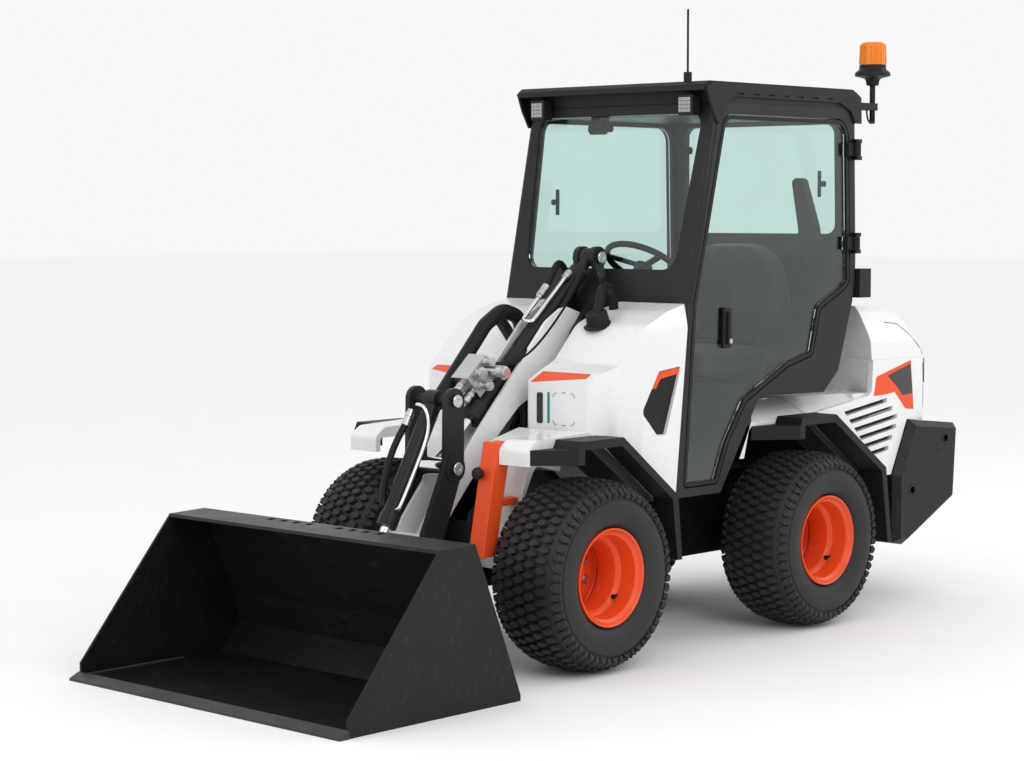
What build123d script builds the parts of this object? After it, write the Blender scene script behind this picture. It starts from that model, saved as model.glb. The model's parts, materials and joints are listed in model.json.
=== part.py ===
from build123d import *
import os
from math import hypot

# Compact articulated loader with a cab, one centre boom and a bucket.
# X points forward, Y to the driver's left, Z up; the origin lies on the ground under mid length.
# Outlines are lists of corners, each (across, up) with a corner radius as an optional third value.
# In side outlines a corner is (x, z), with x measured from the articulation joint.

# Overall driving sizes
LENGTH_AHEAD = 1935.0
LENGTH_BEHIND = 1687.0
WHEELBASE = 1244.0
TRACK = 924.0
TYRE_DIAMETER = 660.0
TYRE_WIDTH = 304.0
BUCKET_WIDTH = 1320.0
EDGE_OVERHANG = 3.0
CAB_HALF_WIDTH = 455.0
CAB_ROOF_Z = 2030.0
REAR_HALF_WIDTH = 455.0
FENDER_HALF_WIDTH = 430.0
FLARE_HALF_WIDTH = 549.0
ANTENNA_TIP_Z = 2289.0

# Clearances
SEAT = 0.3
GLASS_SEAT = 0.4
SWING_GAP = 5.0

JOINT_X = (LENGTH_BEHIND - LENGTH_AHEAD) / 2
AXLE_X = WHEELBASE / 2
TYRE_R = TYRE_DIAMETER / 2
AXLE_Z = TYRE_R
WHEEL_Y = TRACK / 2

# Pins of the lifting linkage, as (x, z)
TOWER_PIN = (62.0, 1394.0)
BOOM_PIN = (175.0, 1141.0)
REACH = (810.0, -711.0)
TILT_PIN = (870.0, 915.0)
BUCKET_PIN = (1020.0, 300.0)
ROD_PIN = (1190.0, 342.0)
LIFT_PIN = (420.0, AXLE_Z + 2)
LIFT_EYE_ALONG = 230.0
LIFT_EYE_ABOVE = 25.0
PIN_R = 20.0
BOSS_R = 44.0

BOOM_LENGTH = hypot(*REACH)
BOOM_WAY = (REACH[0] / BOOM_LENGTH, REACH[1] / BOOM_LENGTH)
BOOM_TIP_PIN = (BOOM_PIN[0] + REACH[0], BOOM_PIN[1] + REACH[1])
LEVEL_PIN = (TOWER_PIN[0] + REACH[0], TOWER_PIN[1] + REACH[1])

# Plates of the linkage, as half-widths across the machine
LEVEL_EYE_Y = 24.0
TOWER_HEAD_Y = 46.0
BOOM_INNER_Y = 53.0
BOOM_OUTER_Y = 65.0
TOWER_INNER_Y = 80.0
TOWER_OUTER_Y = 100.0
EAR_OUTER_Y = 122.0


def at(x, y, z):
    """A place measured from the articulation joint."""
    return (JOINT_X + x, y, z)


def aft(distance_ahead):
    """An x place measured forward from the machine's rear end."""
    return distance_ahead - LENGTH_BEHIND


def side_plane(y):
    """The upright plane at y, drawn with x forward and z up."""
    return Plane(origin=at(0, y, 0), x_dir=(1, 0, 0), z_dir=(0, -1, 0))


def plan_plane(z):
    """The level plane at height z, drawn with x forward and y left."""
    return Plane(origin=at(0, 0, z))


def front_plane(x):
    """The upright plane across the machine at x, drawn with y left and z up."""
    return Plane(origin=at(x, 0, 0), x_dir=(0, 1, 0), z_dir=(1, 0, 0))


def outline(corners):
    """A face through the corners, with those rounded that name a radius."""
    radii = [corner[2] if len(corner) > 2 else 0 for corner in corners]
    with BuildLine() as border:
        FilletPolyline(*[corner[:2] for corner in corners], radius=radii, close=True)
    make_face(border.edges())


def plate(corners, y_low, y_high, mode=Mode.ADD):
    """A plate of the given side outline between two places across the machine."""
    with BuildSketch(side_plane(y_low)) as face:
        outline(corners)
    extrude(face.sketch, amount=y_low - y_high, mode=mode)


def plates(corners, y_inner, y_outer, mode=Mode.ADD):
    """A left and a right plate of one side outline."""
    plate(corners, y_inner, y_outer, mode)
    plate(corners, -y_outer, -y_inner, mode)


def cross_rod(pin, radius, y_low, y_high, mode=Mode.ADD):
    """A rod across the machine at a pin's place."""
    with BuildSketch(side_plane(y_low)) as face:
        with Locations(pin):
            Circle(radius)
    extrude(face.sketch, amount=y_low - y_high, mode=mode)


def cross_rods(pin, radius, y_inner, y_outer, mode=Mode.ADD):
    """A left and a right rod at a pin's place."""
    cross_rod(pin, radius, y_inner, y_outer, mode)
    cross_rod(pin, radius, -y_outer, -y_inner, mode)


def block(x, y, z, mode=Mode.ADD):
    """A box between the low and high ends given for x, y and z."""
    with Locations(at((x[0] + x[1]) / 2, (y[0] + y[1]) / 2, (z[0] + z[1]) / 2)):
        Box(x[1] - x[0], y[1] - y[0], z[1] - z[0], mode=mode)


def blocks(x, y, z, mode=Mode.ADD):
    """A left and a right box."""
    block(x, y, z, mode)
    block(x, (-y[1], -y[0]), z, mode)


def upright(place, radius, low, high, mode=Mode.ADD):
    """An upright round bar at a place in plan."""
    with BuildSketch(plan_plane(low)) as face:
        with Locations(place):
            Circle(radius)
    extrude(face.sketch, amount=high - low, mode=mode)


def rod_along(start, end, y, radius, begin, end_at, mode=Mode.ADD):
    """A round bar on the line from one pin to another, from begin to end_at along it."""
    span = distance(start, end)
    way = ((end[0] - start[0]) / span, (end[1] - start[1]) / span)
    origin = at(start[0] + way[0] * begin, y, start[1] + way[1] * begin)
    with BuildSketch(Plane(origin=origin, x_dir=(0, 1, 0), z_dir=(way[0], 0, way[1]))) as face:
        Circle(radius)
    extrude(face.sketch, amount=end_at - begin, mode=mode)


def distance(start, end):
    return hypot(end[0] - start[0], end[1] - start[1])


def beside_line(origin, way, along, above):
    """A place given along a line and square above it."""
    return (
        origin[0] + along * way[0] - above * way[1],
        origin[1] + along * way[1] + above * way[0],
    )


def boom_point(along, above):
    return beside_line(BOOM_PIN, BOOM_WAY, along, above)


def link_point(along, above):
    return beside_line(TOWER_PIN, BOOM_WAY, along, above)


def finish(piece, name):
    piece.part.label = name
    export_step(piece.part, f"parts/{name}.step")


os.makedirs("parts", exist_ok=True)

# Wheels: name, side and axle place
WHEELS = [
    ("front_left", 1, AXLE_X),
    ("front_right", -1, AXLE_X),
    ("rear_left", 1, -AXLE_X),
    ("rear_right", -1, -AXLE_X),
]
RIM_LIP_R = 168.0
RIM_SEAT_R = 150.0
RIM_WELL_R = 130.0
RIM_WALL = 9.0
RIM_HALF = 133.0
FLANGE = 17.5
WELL_LOW = -28.0
WELL_HIGH = 42.0
WELL_SLOPE = 16.0
DISC_Y = 62.0
DISC_THICK = 12.0
HUB_R = 58.0
HUB_LENGTH = 60.0
HUB_BACK = 26.0
STUB_R = 38.0
STUB_LENGTH = 40.0
SIDEWALL_HALF = TYRE_WIDTH / 2
TREAD_HALF = 132.0
SHOULDER_DROP = 30.0
CROWN_DROP = 8.0
CROWN_EDGE = 22.0
SHOULDER_R = TYRE_R - SHOULDER_DROP
BEAD_R = RIM_SEAT_R + SEAT
BEAD_HALF = RIM_HALF - FLANGE - 0.5
FLANGE_TOP_R = RIM_LIP_R + 4
BULGE_R = (RIM_LIP_R + SHOULDER_R) / 2
BULGE_LOW_R = (RIM_LIP_R + BULGE_R) / 2

for name, side, axle_x in WHEELS:
    centre = at(axle_x, side * WHEEL_Y, AXLE_Z)
    wheel_plane = Plane(origin=centre, x_dir=(1, 0, 0), z_dir=(0, side, 0))
    profile_plane = Plane(origin=centre, x_dir=(0, side, 0), z_dir=(1, 0, 0))
    spin = Axis(centre, (0, side, 0))

    with BuildPart() as tyre:
        with BuildSketch(profile_plane):
            with BuildLine() as half:
                Polyline(
                    (0, BEAD_R),
                    (BEAD_HALF, BEAD_R),
                    (BEAD_HALF, FLANGE_TOP_R),
                    (SIDEWALL_HALF - CROWN_DROP, BULGE_LOW_R),
                )
                ThreePointArc(
                    (SIDEWALL_HALF - CROWN_DROP, BULGE_LOW_R),
                    (SIDEWALL_HALF, BULGE_R),
                    (TREAD_HALF + CROWN_DROP, SHOULDER_R),
                )
                ThreePointArc(
                    (TREAD_HALF + CROWN_DROP, SHOULDER_R),
                    (TREAD_HALF, TYRE_R - 2 * CROWN_DROP),
                    (TREAD_HALF - CROWN_EDGE, TYRE_R - CROWN_DROP),
                )
                Spline_end = (TREAD_HALF - CROWN_EDGE, TYRE_R - CROWN_DROP)
                ThreePointArc(
                    Spline_end, (TREAD_HALF / 2, TYRE_R - CROWN_DROP / 4), (0, TYRE_R)
                )
                Line((0, TYRE_R), (0, BEAD_R))
            make_face()
            mirror(about=Plane.YZ)
        revolve(axis=spin)
    finish(tyre, f"tyre_{name}")

    with BuildPart() as rim:
        with BuildSketch(profile_plane):
            outline(
                [
                    (-RIM_HALF, RIM_LIP_R),
                    (FLANGE - RIM_HALF, RIM_LIP_R),
                    (FLANGE - RIM_HALF, RIM_SEAT_R),
                    (WELL_LOW - WELL_SLOPE, RIM_SEAT_R),
                    (WELL_LOW, RIM_WELL_R),
                    (WELL_HIGH, RIM_WELL_R),
                    (WELL_HIGH + WELL_SLOPE, RIM_SEAT_R),
                    (RIM_HALF - FLANGE, RIM_SEAT_R),
                    (RIM_HALF - FLANGE, RIM_LIP_R),
                    (RIM_HALF, RIM_LIP_R),
                    (RIM_HALF, RIM_LIP_R - RIM_WALL),
                    (RIM_HALF - FLANGE - 3, RIM_SEAT_R - RIM_WALL),
                    (WELL_HIGH + WELL_SLOPE + 3, RIM_SEAT_R - RIM_WALL),
                    (WELL_HIGH + 3, RIM_WELL_R - RIM_WALL),
                    (WELL_LOW - 3, RIM_WELL_R - RIM_WALL),
                    (WELL_LOW - WELL_SLOPE - 3, RIM_SEAT_R - RIM_WALL),
                    (FLANGE + 3 - RIM_HALF, RIM_SEAT_R - RIM_WALL),
                    (-RIM_HALF, RIM_LIP_R - RIM_WALL),
                ]
            )
        revolve(axis=spin)
        with BuildSketch(wheel_plane.offset(-DISC_Y - DISC_THICK)):
            Circle(RIM_SEAT_R - RIM_WALL + 2)
        extrude(amount=DISC_THICK)
        with BuildSketch(wheel_plane.offset(-DISC_Y - DISC_THICK - HUB_BACK)):
            Circle(HUB_R)
        extrude(amount=HUB_LENGTH)
        with BuildSketch(wheel_plane.offset(-DISC_Y - DISC_THICK - HUB_BACK)):
            Circle(STUB_R + SEAT)
        extrude(amount=STUB_LENGTH, mode=Mode.SUBTRACT)
    finish(rim, f"rim_{name}")

HUB_INNER_Y = WHEEL_Y - DISC_Y - DISC_THICK - HUB_BACK

# Axles: tube, motor drums and stubs that carry the wheels
AXLE_TUBE_R = 58.0
DRUM_R = 104.0
DRUM_INNER_Y = 205.0
DRUM_GAP = 25.0
for name, axle_x in (("front_axle", AXLE_X), ("rear_axle", -AXLE_X)):
    axle_place = (axle_x, AXLE_Z)
    with BuildPart() as axle:
        cross_rod(axle_place, AXLE_TUBE_R, -DRUM_INNER_Y - 2, DRUM_INNER_Y + 2)
        cross_rods(axle_place, DRUM_R, DRUM_INNER_Y, HUB_INNER_Y - DRUM_GAP)
        cross_rods(axle_place, HUB_R, HUB_INNER_Y - DRUM_GAP - 1, HUB_INNER_Y - SEAT)
        cross_rods(axle_place, STUB_R, HUB_INNER_Y - 1, HUB_INNER_Y + STUB_LENGTH - 2)
    finish(axle, name)

# Front chassis: two tall plates that carry the axle, the boom and the levelling cylinder
CHASSIS_BOTTOM = AXLE_Z - 72
EAR_R = 72.0
JOINT_PIN_R = 25.0
UPPER_EAR = (AXLE_Z + 102, AXLE_Z + 132)
LOWER_EAR = (AXLE_Z - 40, AXLE_Z - 10)
TONGUE = (LOWER_EAR[1] + SEAT, UPPER_EAR[0] - SEAT)
CHASSIS_FRONT = 792.0
TOWER_SHOULDER_Z = 1240.0
HEAD_X = (46.0, 92.0)

TOWER_OUTLINE = [
    (120, CHASSIS_BOTTOM),
    (730, CHASSIS_BOTTOM),
    (CHASSIS_FRONT, AXLE_Z),
    (CHASSIS_FRONT, 520, 40),
    (640, 640, 60),
    (420, 720, 60),
    (300, 930, 90),
    (262, 1130, 60),
    (165, TOWER_SHOULDER_Z, 30),
    (48, TOWER_SHOULDER_Z),
    (50, 1215),
    (128, 560),
]
with BuildPart() as front_chassis:
    plates(TOWER_OUTLINE, TOWER_INNER_Y, TOWER_OUTER_Y)
    for side in (1, -1):
        with BuildSketch(front_plane(HEAD_X[0])):
            outline(
                [
                    (side * (LEVEL_EYE_Y + SEAT), TOWER_PIN[1]),
                    (side * TOWER_HEAD_Y, TOWER_PIN[1]),
                    (side * TOWER_OUTER_Y, TOWER_SHOULDER_Z - 2),
                    (side * TOWER_INNER_Y, TOWER_SHOULDER_Z - 2),
                ]
            )
        extrude(amount=HEAD_X[1] - HEAD_X[0])
    cross_rods(TOWER_PIN, BOSS_R - 4, LEVEL_EYE_Y + SEAT, TOWER_HEAD_Y + 2)
    cross_rod((AXLE_X, AXLE_Z), AXLE_TUBE_R + SEAT, -TOWER_OUTER_Y - 1, TOWER_OUTER_Y + 1, Mode.SUBTRACT)
    block((110, 132), (-TOWER_OUTER_Y, TOWER_OUTER_Y), (CHASSIS_BOTTOM, AXLE_Z + 170))
    block((132, 700), (-TOWER_INNER_Y, TOWER_INNER_Y), (CHASSIS_BOTTOM, CHASSIS_BOTTOM + 12))
    block((700, 730), (-TOWER_INNER_Y, TOWER_INNER_Y), (CHASSIS_BOTTOM, AXLE_Z + 150))
    for low, high in (UPPER_EAR, LOWER_EAR):
        with BuildSketch(plan_plane(low)):
            Circle(EAR_R)
            with Locations((60, 0)):
                Rectangle(120, 2 * EAR_R)
        extrude(amount=high - low)
    cross_rod(TOWER_PIN, PIN_R, -TOWER_HEAD_Y - 10, TOWER_HEAD_Y + 10)
    cross_rod(BOOM_PIN, PIN_R, -TOWER_OUTER_Y - 8, TOWER_OUTER_Y + 8)
    cross_rod(LIFT_PIN, PIN_R, -TOWER_OUTER_Y, TOWER_OUTER_Y)
    upright((0, 0), JOINT_PIN_R, LOWER_EAR[0] - 10, UPPER_EAR[1] + 10)
finish(front_chassis, "front_chassis")

# Boom: two bowed side plates with a floor, bushed at both ends; corners as (along, above, radius)
BOOM_OUTLINE = [
    (-46, 20, 30),
    (-30, -40, 30),
    (70, -46, 60),
    (210, -22),
    (330, -8, 120),
    (430, 22, 120),
    (560, 22, 200),
    (900, -14, 200),
    (1050, -40, 30),
    (1078, 42, 40),
    (960, 62, 200),
    (612, 108, 400),
    (126, 150, 120),
    (20, 128, 60),
]
BOOM_FLOOR = [(430, 24), (560, 24), (860, -8), (860, 4), (560, 36), (430, 36)]


def on_boom(corners):
    """Corners given in the boom's own frame, as places (x, z) with their radii."""
    return [(*boom_point(*corner[:2]), *corner[2:]) for corner in corners]


with BuildPart() as boom:
    plates(on_boom(BOOM_OUTLINE), BOOM_INNER_Y, BOOM_OUTER_Y)
    plate(on_boom(BOOM_FLOOR), -BOOM_INNER_Y, BOOM_INNER_Y)
    cross_rods(BOOM_PIN, BOSS_R, BOOM_INNER_Y, TOWER_INNER_Y - SEAT)
    cross_rods(BOOM_TIP_PIN, BOSS_R - 2, BOOM_INNER_Y, TOWER_INNER_Y - SEAT)
    cross_rod(BOOM_TIP_PIN, BOSS_R - 10, -BOOM_INNER_Y, BOOM_INNER_Y)
    cross_rod(BOOM_PIN, PIN_R + SEAT, -EAR_OUTER_Y, EAR_OUTER_Y, Mode.SUBTRACT)
    cross_rod(BOOM_TIP_PIN, PIN_R + SEAT, -EAR_OUTER_Y, EAR_OUTER_Y, Mode.SUBTRACT)
finish(boom, "boom")

# Hose sleeve on the boom's right side: it runs up the boom, arches over and drops beside the pivot
SLEEVE_R = 27.0
SLEEVE_Y = -94.0
# Columns: x, z, bend radius
SLEEVE_ROUTE = [(736, 925, 0), (520, 1158, 90), (432, 1208, 70), (338, 1180, 60), (322, 1075, 0)]
CLAMPS_ALONG = (190.0, 420.0)
CLAMP_HALF = 16.0
with BuildPart() as boom_hoses:
    with BuildLine(side_plane(SLEEVE_Y)) as route:
        FilletPolyline(
            *[point[:2] for point in SLEEVE_ROUTE], radius=[point[2] for point in SLEEVE_ROUTE[1:-1]]
        )
    with BuildSketch(Plane(origin=route.line @ 0, z_dir=route.line % 0)):
        Circle(SLEEVE_R)
    sweep()
    for along in CLAMPS_ALONG:
        corners = [
            boom_point(along - CLAMP_HALF, 90),
            boom_point(along + CLAMP_HALF, 90),
            boom_point(along + CLAMP_HALF, 236),
            boom_point(along - CLAMP_HALF, 236),
        ]
        plate(corners, SLEEVE_Y, -BOOM_OUTER_Y - SEAT)
finish(boom_hoses, "boom_hoses")

# Carrier: kinked plates at the boom's tip, with the pins of four links
CARRIER_OUTLINE = [
    (826, 925),
    (828, 690, 120),
    (930, 440, 200),
    (978, 300),
    (1062, 300),
    (1030, 460, 200),
    (918, 700, 120),
    (914, 925),
]
with BuildPart() as carrier:
    plates(CARRIER_OUTLINE, TOWER_INNER_Y, TOWER_OUTER_Y)
    cross_rods(TILT_PIN, BOSS_R, TOWER_INNER_Y, TOWER_OUTER_Y)
    cross_rods(BUCKET_PIN, BOSS_R - 2, TOWER_INNER_Y, TOWER_OUTER_Y)
    cross_rods(LEVEL_PIN, BOSS_R + 2, TOWER_INNER_Y, TOWER_OUTER_Y + 4)
    cross_rod(TILT_PIN, PIN_R, -TOWER_OUTER_Y - 6, TOWER_OUTER_Y + 6)
    cross_rod(LEVEL_PIN, PIN_R, -TOWER_OUTER_Y - 10, TOWER_OUTER_Y + 10)
    cross_rod(BOOM_TIP_PIN, PIN_R, -TOWER_OUTER_Y - 6, TOWER_OUTER_Y + 6)
    cross_rod(BUCKET_PIN, PIN_R, -EAR_OUTER_Y - 4, EAR_OUTER_Y + 4)
finish(carrier, "carrier")

# Levelling cylinder between the tower and the carrier
LEVEL_BARREL_R = 37.0
LEVEL_NECK_R = 21.0
LEVEL_ROD_R = 19.0
LEVEL_BARREL_START = 78.0
LEVEL_BARREL_END = 846.0
LEVEL_HEAD = 60.0
EYE_R = 34.0
with BuildPart() as level_barrel:
    cross_rod(TOWER_PIN, EYE_R, -LEVEL_EYE_Y, LEVEL_EYE_Y)
    rod_along(TOWER_PIN, LEVEL_PIN, 0, LEVEL_NECK_R, EYE_R - 8, LEVEL_BARREL_START + 2)
    rod_along(TOWER_PIN, LEVEL_PIN, 0, LEVEL_BARREL_R, LEVEL_BARREL_START, LEVEL_BARREL_END)
    rod_along(
        TOWER_PIN, LEVEL_PIN, 0, LEVEL_BARREL_R + 5, LEVEL_BARREL_END - LEVEL_HEAD, LEVEL_BARREL_END
    )
    rod_along(
        TOWER_PIN,
        LEVEL_PIN,
        0,
        LEVEL_ROD_R + SEAT,
        LEVEL_BARREL_END - LEVEL_HEAD - 20,
        LEVEL_BARREL_END,
        Mode.SUBTRACT,
    )
    cross_rod(TOWER_PIN, PIN_R + SEAT, -TOWER_HEAD_Y, TOWER_HEAD_Y, Mode.SUBTRACT)
finish(level_barrel, "level_barrel")

with BuildPart() as level_rod:
    rod_along(
        TOWER_PIN, LEVEL_PIN, 0, LEVEL_ROD_R, LEVEL_BARREL_END - LEVEL_HEAD - 19, BOOM_LENGTH - 25
    )
    cross_rod(LEVEL_PIN, EYE_R, -TOWER_INNER_Y + SEAT, TOWER_INNER_Y - SEAT)
    cross_rod(LEVEL_PIN, PIN_R + SEAT, -TOWER_OUTER_Y, TOWER_OUTER_Y, Mode.SUBTRACT)
finish(level_rod, "level_rod")

# Service couplers on a manifold that sits on the levelling cylinder
MANIFOLD_ALONG = (655.0, 775.0)
MANIFOLD_ABOVE = (LEVEL_BARREL_R + SEAT, 132.0)
MANIFOLD_Y = (-58.0, 24.0)
# Columns: along and above the cylinder, radius, far end across the machine
COUPLERS = [
    (682, 74, 25, 98),
    (682, 74, 17, 112),
    (742, 66, 15, 72),
    (724, 108, 19, 52),
    (672, 116, 13, 64),
]
with BuildPart() as aux_couplers:
    low, high = MANIFOLD_ABOVE
    plate(
        [
            link_point(MANIFOLD_ALONG[0], low),
            link_point(MANIFOLD_ALONG[1], low),
            link_point(MANIFOLD_ALONG[1], high),
            link_point(MANIFOLD_ALONG[0], high),
        ],
        *MANIFOLD_Y,
    )
    for along, above, radius, far_y in COUPLERS:
        cross_rod(link_point(along, above), radius, MANIFOLD_Y[1] - 1, far_y)
finish(aux_couplers, "aux_couplers")


def make_ram(barrel_name, rod_name, base, end, sizes):
    """A ram: a barrel with its eye on the base pin and a rod that slides out of it."""
    bore_r, rod_r, barrel_end, rod_start, eye_half, end_half = sizes
    span = distance(base, end)
    with BuildPart() as barrel:
        cross_rod(base, EYE_R, -eye_half, eye_half)
        rod_along(base, end, 0, bore_r, EYE_R - 8, barrel_end)
        rod_along(base, end, 0, bore_r + 4, barrel_end - 45, barrel_end)
        rod_along(base, end, 0, rod_r + SEAT, EYE_R + 10, barrel_end, Mode.SUBTRACT)
        cross_rod(base, PIN_R + SEAT, -TOWER_OUTER_Y, TOWER_OUTER_Y, Mode.SUBTRACT)
    finish(barrel, barrel_name)
    with BuildPart() as rod:
        rod_along(base, end, 0, rod_r, rod_start, span - 12)
        cross_rod(end, EYE_R - 4, -eye_half, eye_half)
        cross_rod(end, PIN_R - 2, -end_half, end_half)
    finish(rod, rod_name)


LIFT_EYE = boom_point(LIFT_EYE_ALONG, LIFT_EYE_ABOVE)
EYE_HALF = 28.0
# Columns: bore radius, rod radius, barrel's end and rod's start along the ram, eye and pin half-widths
make_ram("tilt_barrel", "tilt_rod", TILT_PIN, ROD_PIN, (31, 17, 480, 170, EYE_HALF, 40))
make_ram("lift_barrel", "lift_rod", LIFT_PIN, LIFT_EYE, (40, 24, 560, 60, EYE_HALF, 46))

# Coupler: back plate with ears on the carrier's pin and ears for the tilt rod
BACK_LOW = (1145.0, 20.0)
BACK_HIGH = (1352.0, 527.0)
BACK_SPAN = distance(BACK_LOW, BACK_HIGH)
BACK_WAY = ((BACK_HIGH[0] - BACK_LOW[0]) / BACK_SPAN, (BACK_HIGH[1] - BACK_LOW[1]) / BACK_SPAN)


def behind_back(along, behind):
    """A place along the bucket's back wall and square behind it."""
    return beside_line(BACK_LOW, BACK_WAY, along, behind)


COUPLER_THICK = 18.0
COUPLER_HALF = 300.0
COUPLER_LOW = 60.0
COUPLER_HIGH = 430.0
COUPLER_SILL = 120.0
ROD_GAP_Y = 32.0
ROD_EAR_Y = (42.0, 58.0)


def back_strip(low, high):
    """The coupler's plate section between two places along the bucket's back."""
    return [
        behind_back(low, SEAT),
        behind_back(high, SEAT),
        behind_back(high, COUPLER_THICK),
        behind_back(low, COUPLER_THICK),
    ]


with BuildPart() as coupler:
    plates(back_strip(COUPLER_LOW, COUPLER_HIGH), ROD_GAP_Y, COUPLER_HALF)
    plate(back_strip(COUPLER_LOW, COUPLER_SILL), -ROD_GAP_Y - 1, ROD_GAP_Y + 1)
    plates(
        [
            (BUCKET_PIN[0] - 20, BUCKET_PIN[1] - 36),
            behind_back(120, COUPLER_THICK - 1),
            behind_back(400, COUPLER_THICK - 1),
            (BUCKET_PIN[0] + 10, BUCKET_PIN[1] + 40),
        ],
        TOWER_OUTER_Y + SEAT,
        EAR_OUTER_Y,
    )
    cross_rods(BUCKET_PIN, BOSS_R - 2, TOWER_OUTER_Y + SEAT, EAR_OUTER_Y)
    plates(
        [
            (ROD_PIN[0] - 26, ROD_PIN[1] - 22),
            behind_back(260, COUPLER_THICK - 1),
            behind_back(420, COUPLER_THICK - 1),
            (ROD_PIN[0] - 6, ROD_PIN[1] + 32),
        ],
        *ROD_EAR_Y,
    )
    cross_rod(BUCKET_PIN, PIN_R + SEAT, -COUPLER_HALF, COUPLER_HALF, Mode.SUBTRACT)
finish(coupler, "coupler")

# Bucket: side plates, floor, slanted back and a top flange with lightening slots, open to the front
BUCKET_HALF = BUCKET_WIDTH / 2
BUCKET_WALL = 10.0
FLOOR_THICK = 12.0
EDGE_X = LENGTH_AHEAD
EDGE_DEPTH = 40.0
FLANGE_X = 1507.0
FLANGE_Z = 522.0
BACK_KNEE = (1235.0, 222.0)
BACK_FOOT = (1205.0, 110.0)
FLOOR_X = 1290.0
BUCKET_SIDE = [
    (EDGE_X - EDGE_DEPTH, 0),
    (EDGE_X - EDGE_DEPTH, 55),
    (FLANGE_X, FLANGE_Z),
    BACK_HIGH,
    BACK_LOW,
    (BACK_LOW[0], 0),
]
SLOT_X = (1372.0, 1400.0)
SLOT_SIZE = 26.0
SLOT_PITCH = 64.0
SLOT_COUNT = 4
SLOT_FIRST_Y = 60.0
with BuildPart() as bucket:
    plate(BUCKET_SIDE, -BUCKET_HALF, BUCKET_HALF)
    plate(
        [
            (EDGE_X + 10, FLOOR_THICK),
            (EDGE_X + 10, 500),
            (FLANGE_X + 30, FLANGE_Z - BUCKET_WALL),
            (BACK_HIGH[0] + 8, FLANGE_Z - BUCKET_WALL),
            BACK_KNEE,
            BACK_FOOT,
            (FLOOR_X, FLOOR_THICK),
        ],
        BUCKET_WALL - BUCKET_HALF,
        BUCKET_HALF - BUCKET_WALL,
        Mode.SUBTRACT,
    )
    for index in range(SLOT_COUNT):
        slot_y = SLOT_FIRST_Y + SLOT_PITCH * index
        blocks(SLOT_X, (slot_y, slot_y + SLOT_SIZE), (FLANGE_Z - 12, BACK_HIGH[1] + 2), Mode.SUBTRACT)
finish(bucket, "bucket")

with BuildPart() as cutting_edge:
    plate(
        [
            (EDGE_X, 0),
            (EDGE_X, 8),
            (EDGE_X - EDGE_DEPTH + SEAT, 26),
            (EDGE_X - EDGE_DEPTH + SEAT, 0),
        ],
        -BUCKET_HALF - EDGE_OVERHANG,
        BUCKET_HALF + EDGE_OVERHANG,
    )
finish(cutting_edge, "cutting_edge")

# Steering ram, low on the right side, as pins (x, y) in plan
STEER_Z = AXLE_Z + 55
STEER_BASE = (480.0, -190.0)
STEER_END = (-120.0, -200.0)
STEER_BORE_R = 27.0
STEER_ROD_R = 14.0
STEER_PIN_R = 17.0
STEER_EYE_R = 28.0
STEER_EYE_HALF = 20.0
STEER_BARREL_START = 40.0
STEER_BARREL_END = 400.0
STEER_ROD_START = 240.0
STEER_LUG = 14.0
STEER_SPAN = distance(STEER_BASE, STEER_END)
STEER_WAY = (
    (STEER_END[0] - STEER_BASE[0]) / STEER_SPAN,
    (STEER_END[1] - STEER_BASE[1]) / STEER_SPAN,
)
STEER_EYE_Z = (STEER_Z - STEER_EYE_HALF, STEER_Z + STEER_EYE_HALF)
STEER_LUGS_LOW = (STEER_EYE_Z[0] - STEER_LUG, STEER_EYE_Z[1] + SEAT)


def steer_bar(radius, begin, end_at, mode=Mode.ADD):
    """A round bar on the steering ram's line."""
    x = STEER_BASE[0] + STEER_WAY[0] * begin
    y = STEER_BASE[1] + STEER_WAY[1] * begin
    plane = Plane(origin=at(x, y, STEER_Z), x_dir=(0, 0, 1), z_dir=(STEER_WAY[0], STEER_WAY[1], 0))
    with BuildSketch(plane) as face:
        Circle(radius)
    extrude(face.sketch, amount=end_at - begin, mode=mode)


with BuildPart() as steer_barrel:
    upright(STEER_BASE, STEER_EYE_R, *STEER_EYE_Z)
    steer_bar(STEER_EYE_HALF - 2, STEER_EYE_R - 8, STEER_BARREL_START + 20)
    steer_bar(STEER_BORE_R, STEER_BARREL_START, STEER_BARREL_END)
    steer_bar(STEER_ROD_R + SEAT, STEER_BARREL_START + 30, STEER_BARREL_END, Mode.SUBTRACT)
    upright(STEER_BASE, STEER_PIN_R + SEAT, STEER_Z - 60, STEER_Z + 60, Mode.SUBTRACT)
finish(steer_barrel, "steer_barrel")

with BuildPart() as steer_rod:
    steer_bar(STEER_ROD_R, STEER_ROD_START, STEER_SPAN - 10)
    upright(STEER_END, STEER_EYE_R - 4, *STEER_EYE_Z)
finish(steer_rod, "steer_rod")

# Bracket that holds the steering ram's barrel beside the chassis plate
with BuildPart() as steer_bracket:
    for low in STEER_LUGS_LOW:
        block((450, 510), (-222, -TOWER_OUTER_Y - SEAT), (low, low + STEER_LUG - SEAT))
    upright(STEER_BASE, STEER_PIN_R, STEER_EYE_Z[0] - 10, STEER_EYE_Z[1] + 10)
finish(steer_bracket, "steer_bracket")

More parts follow.
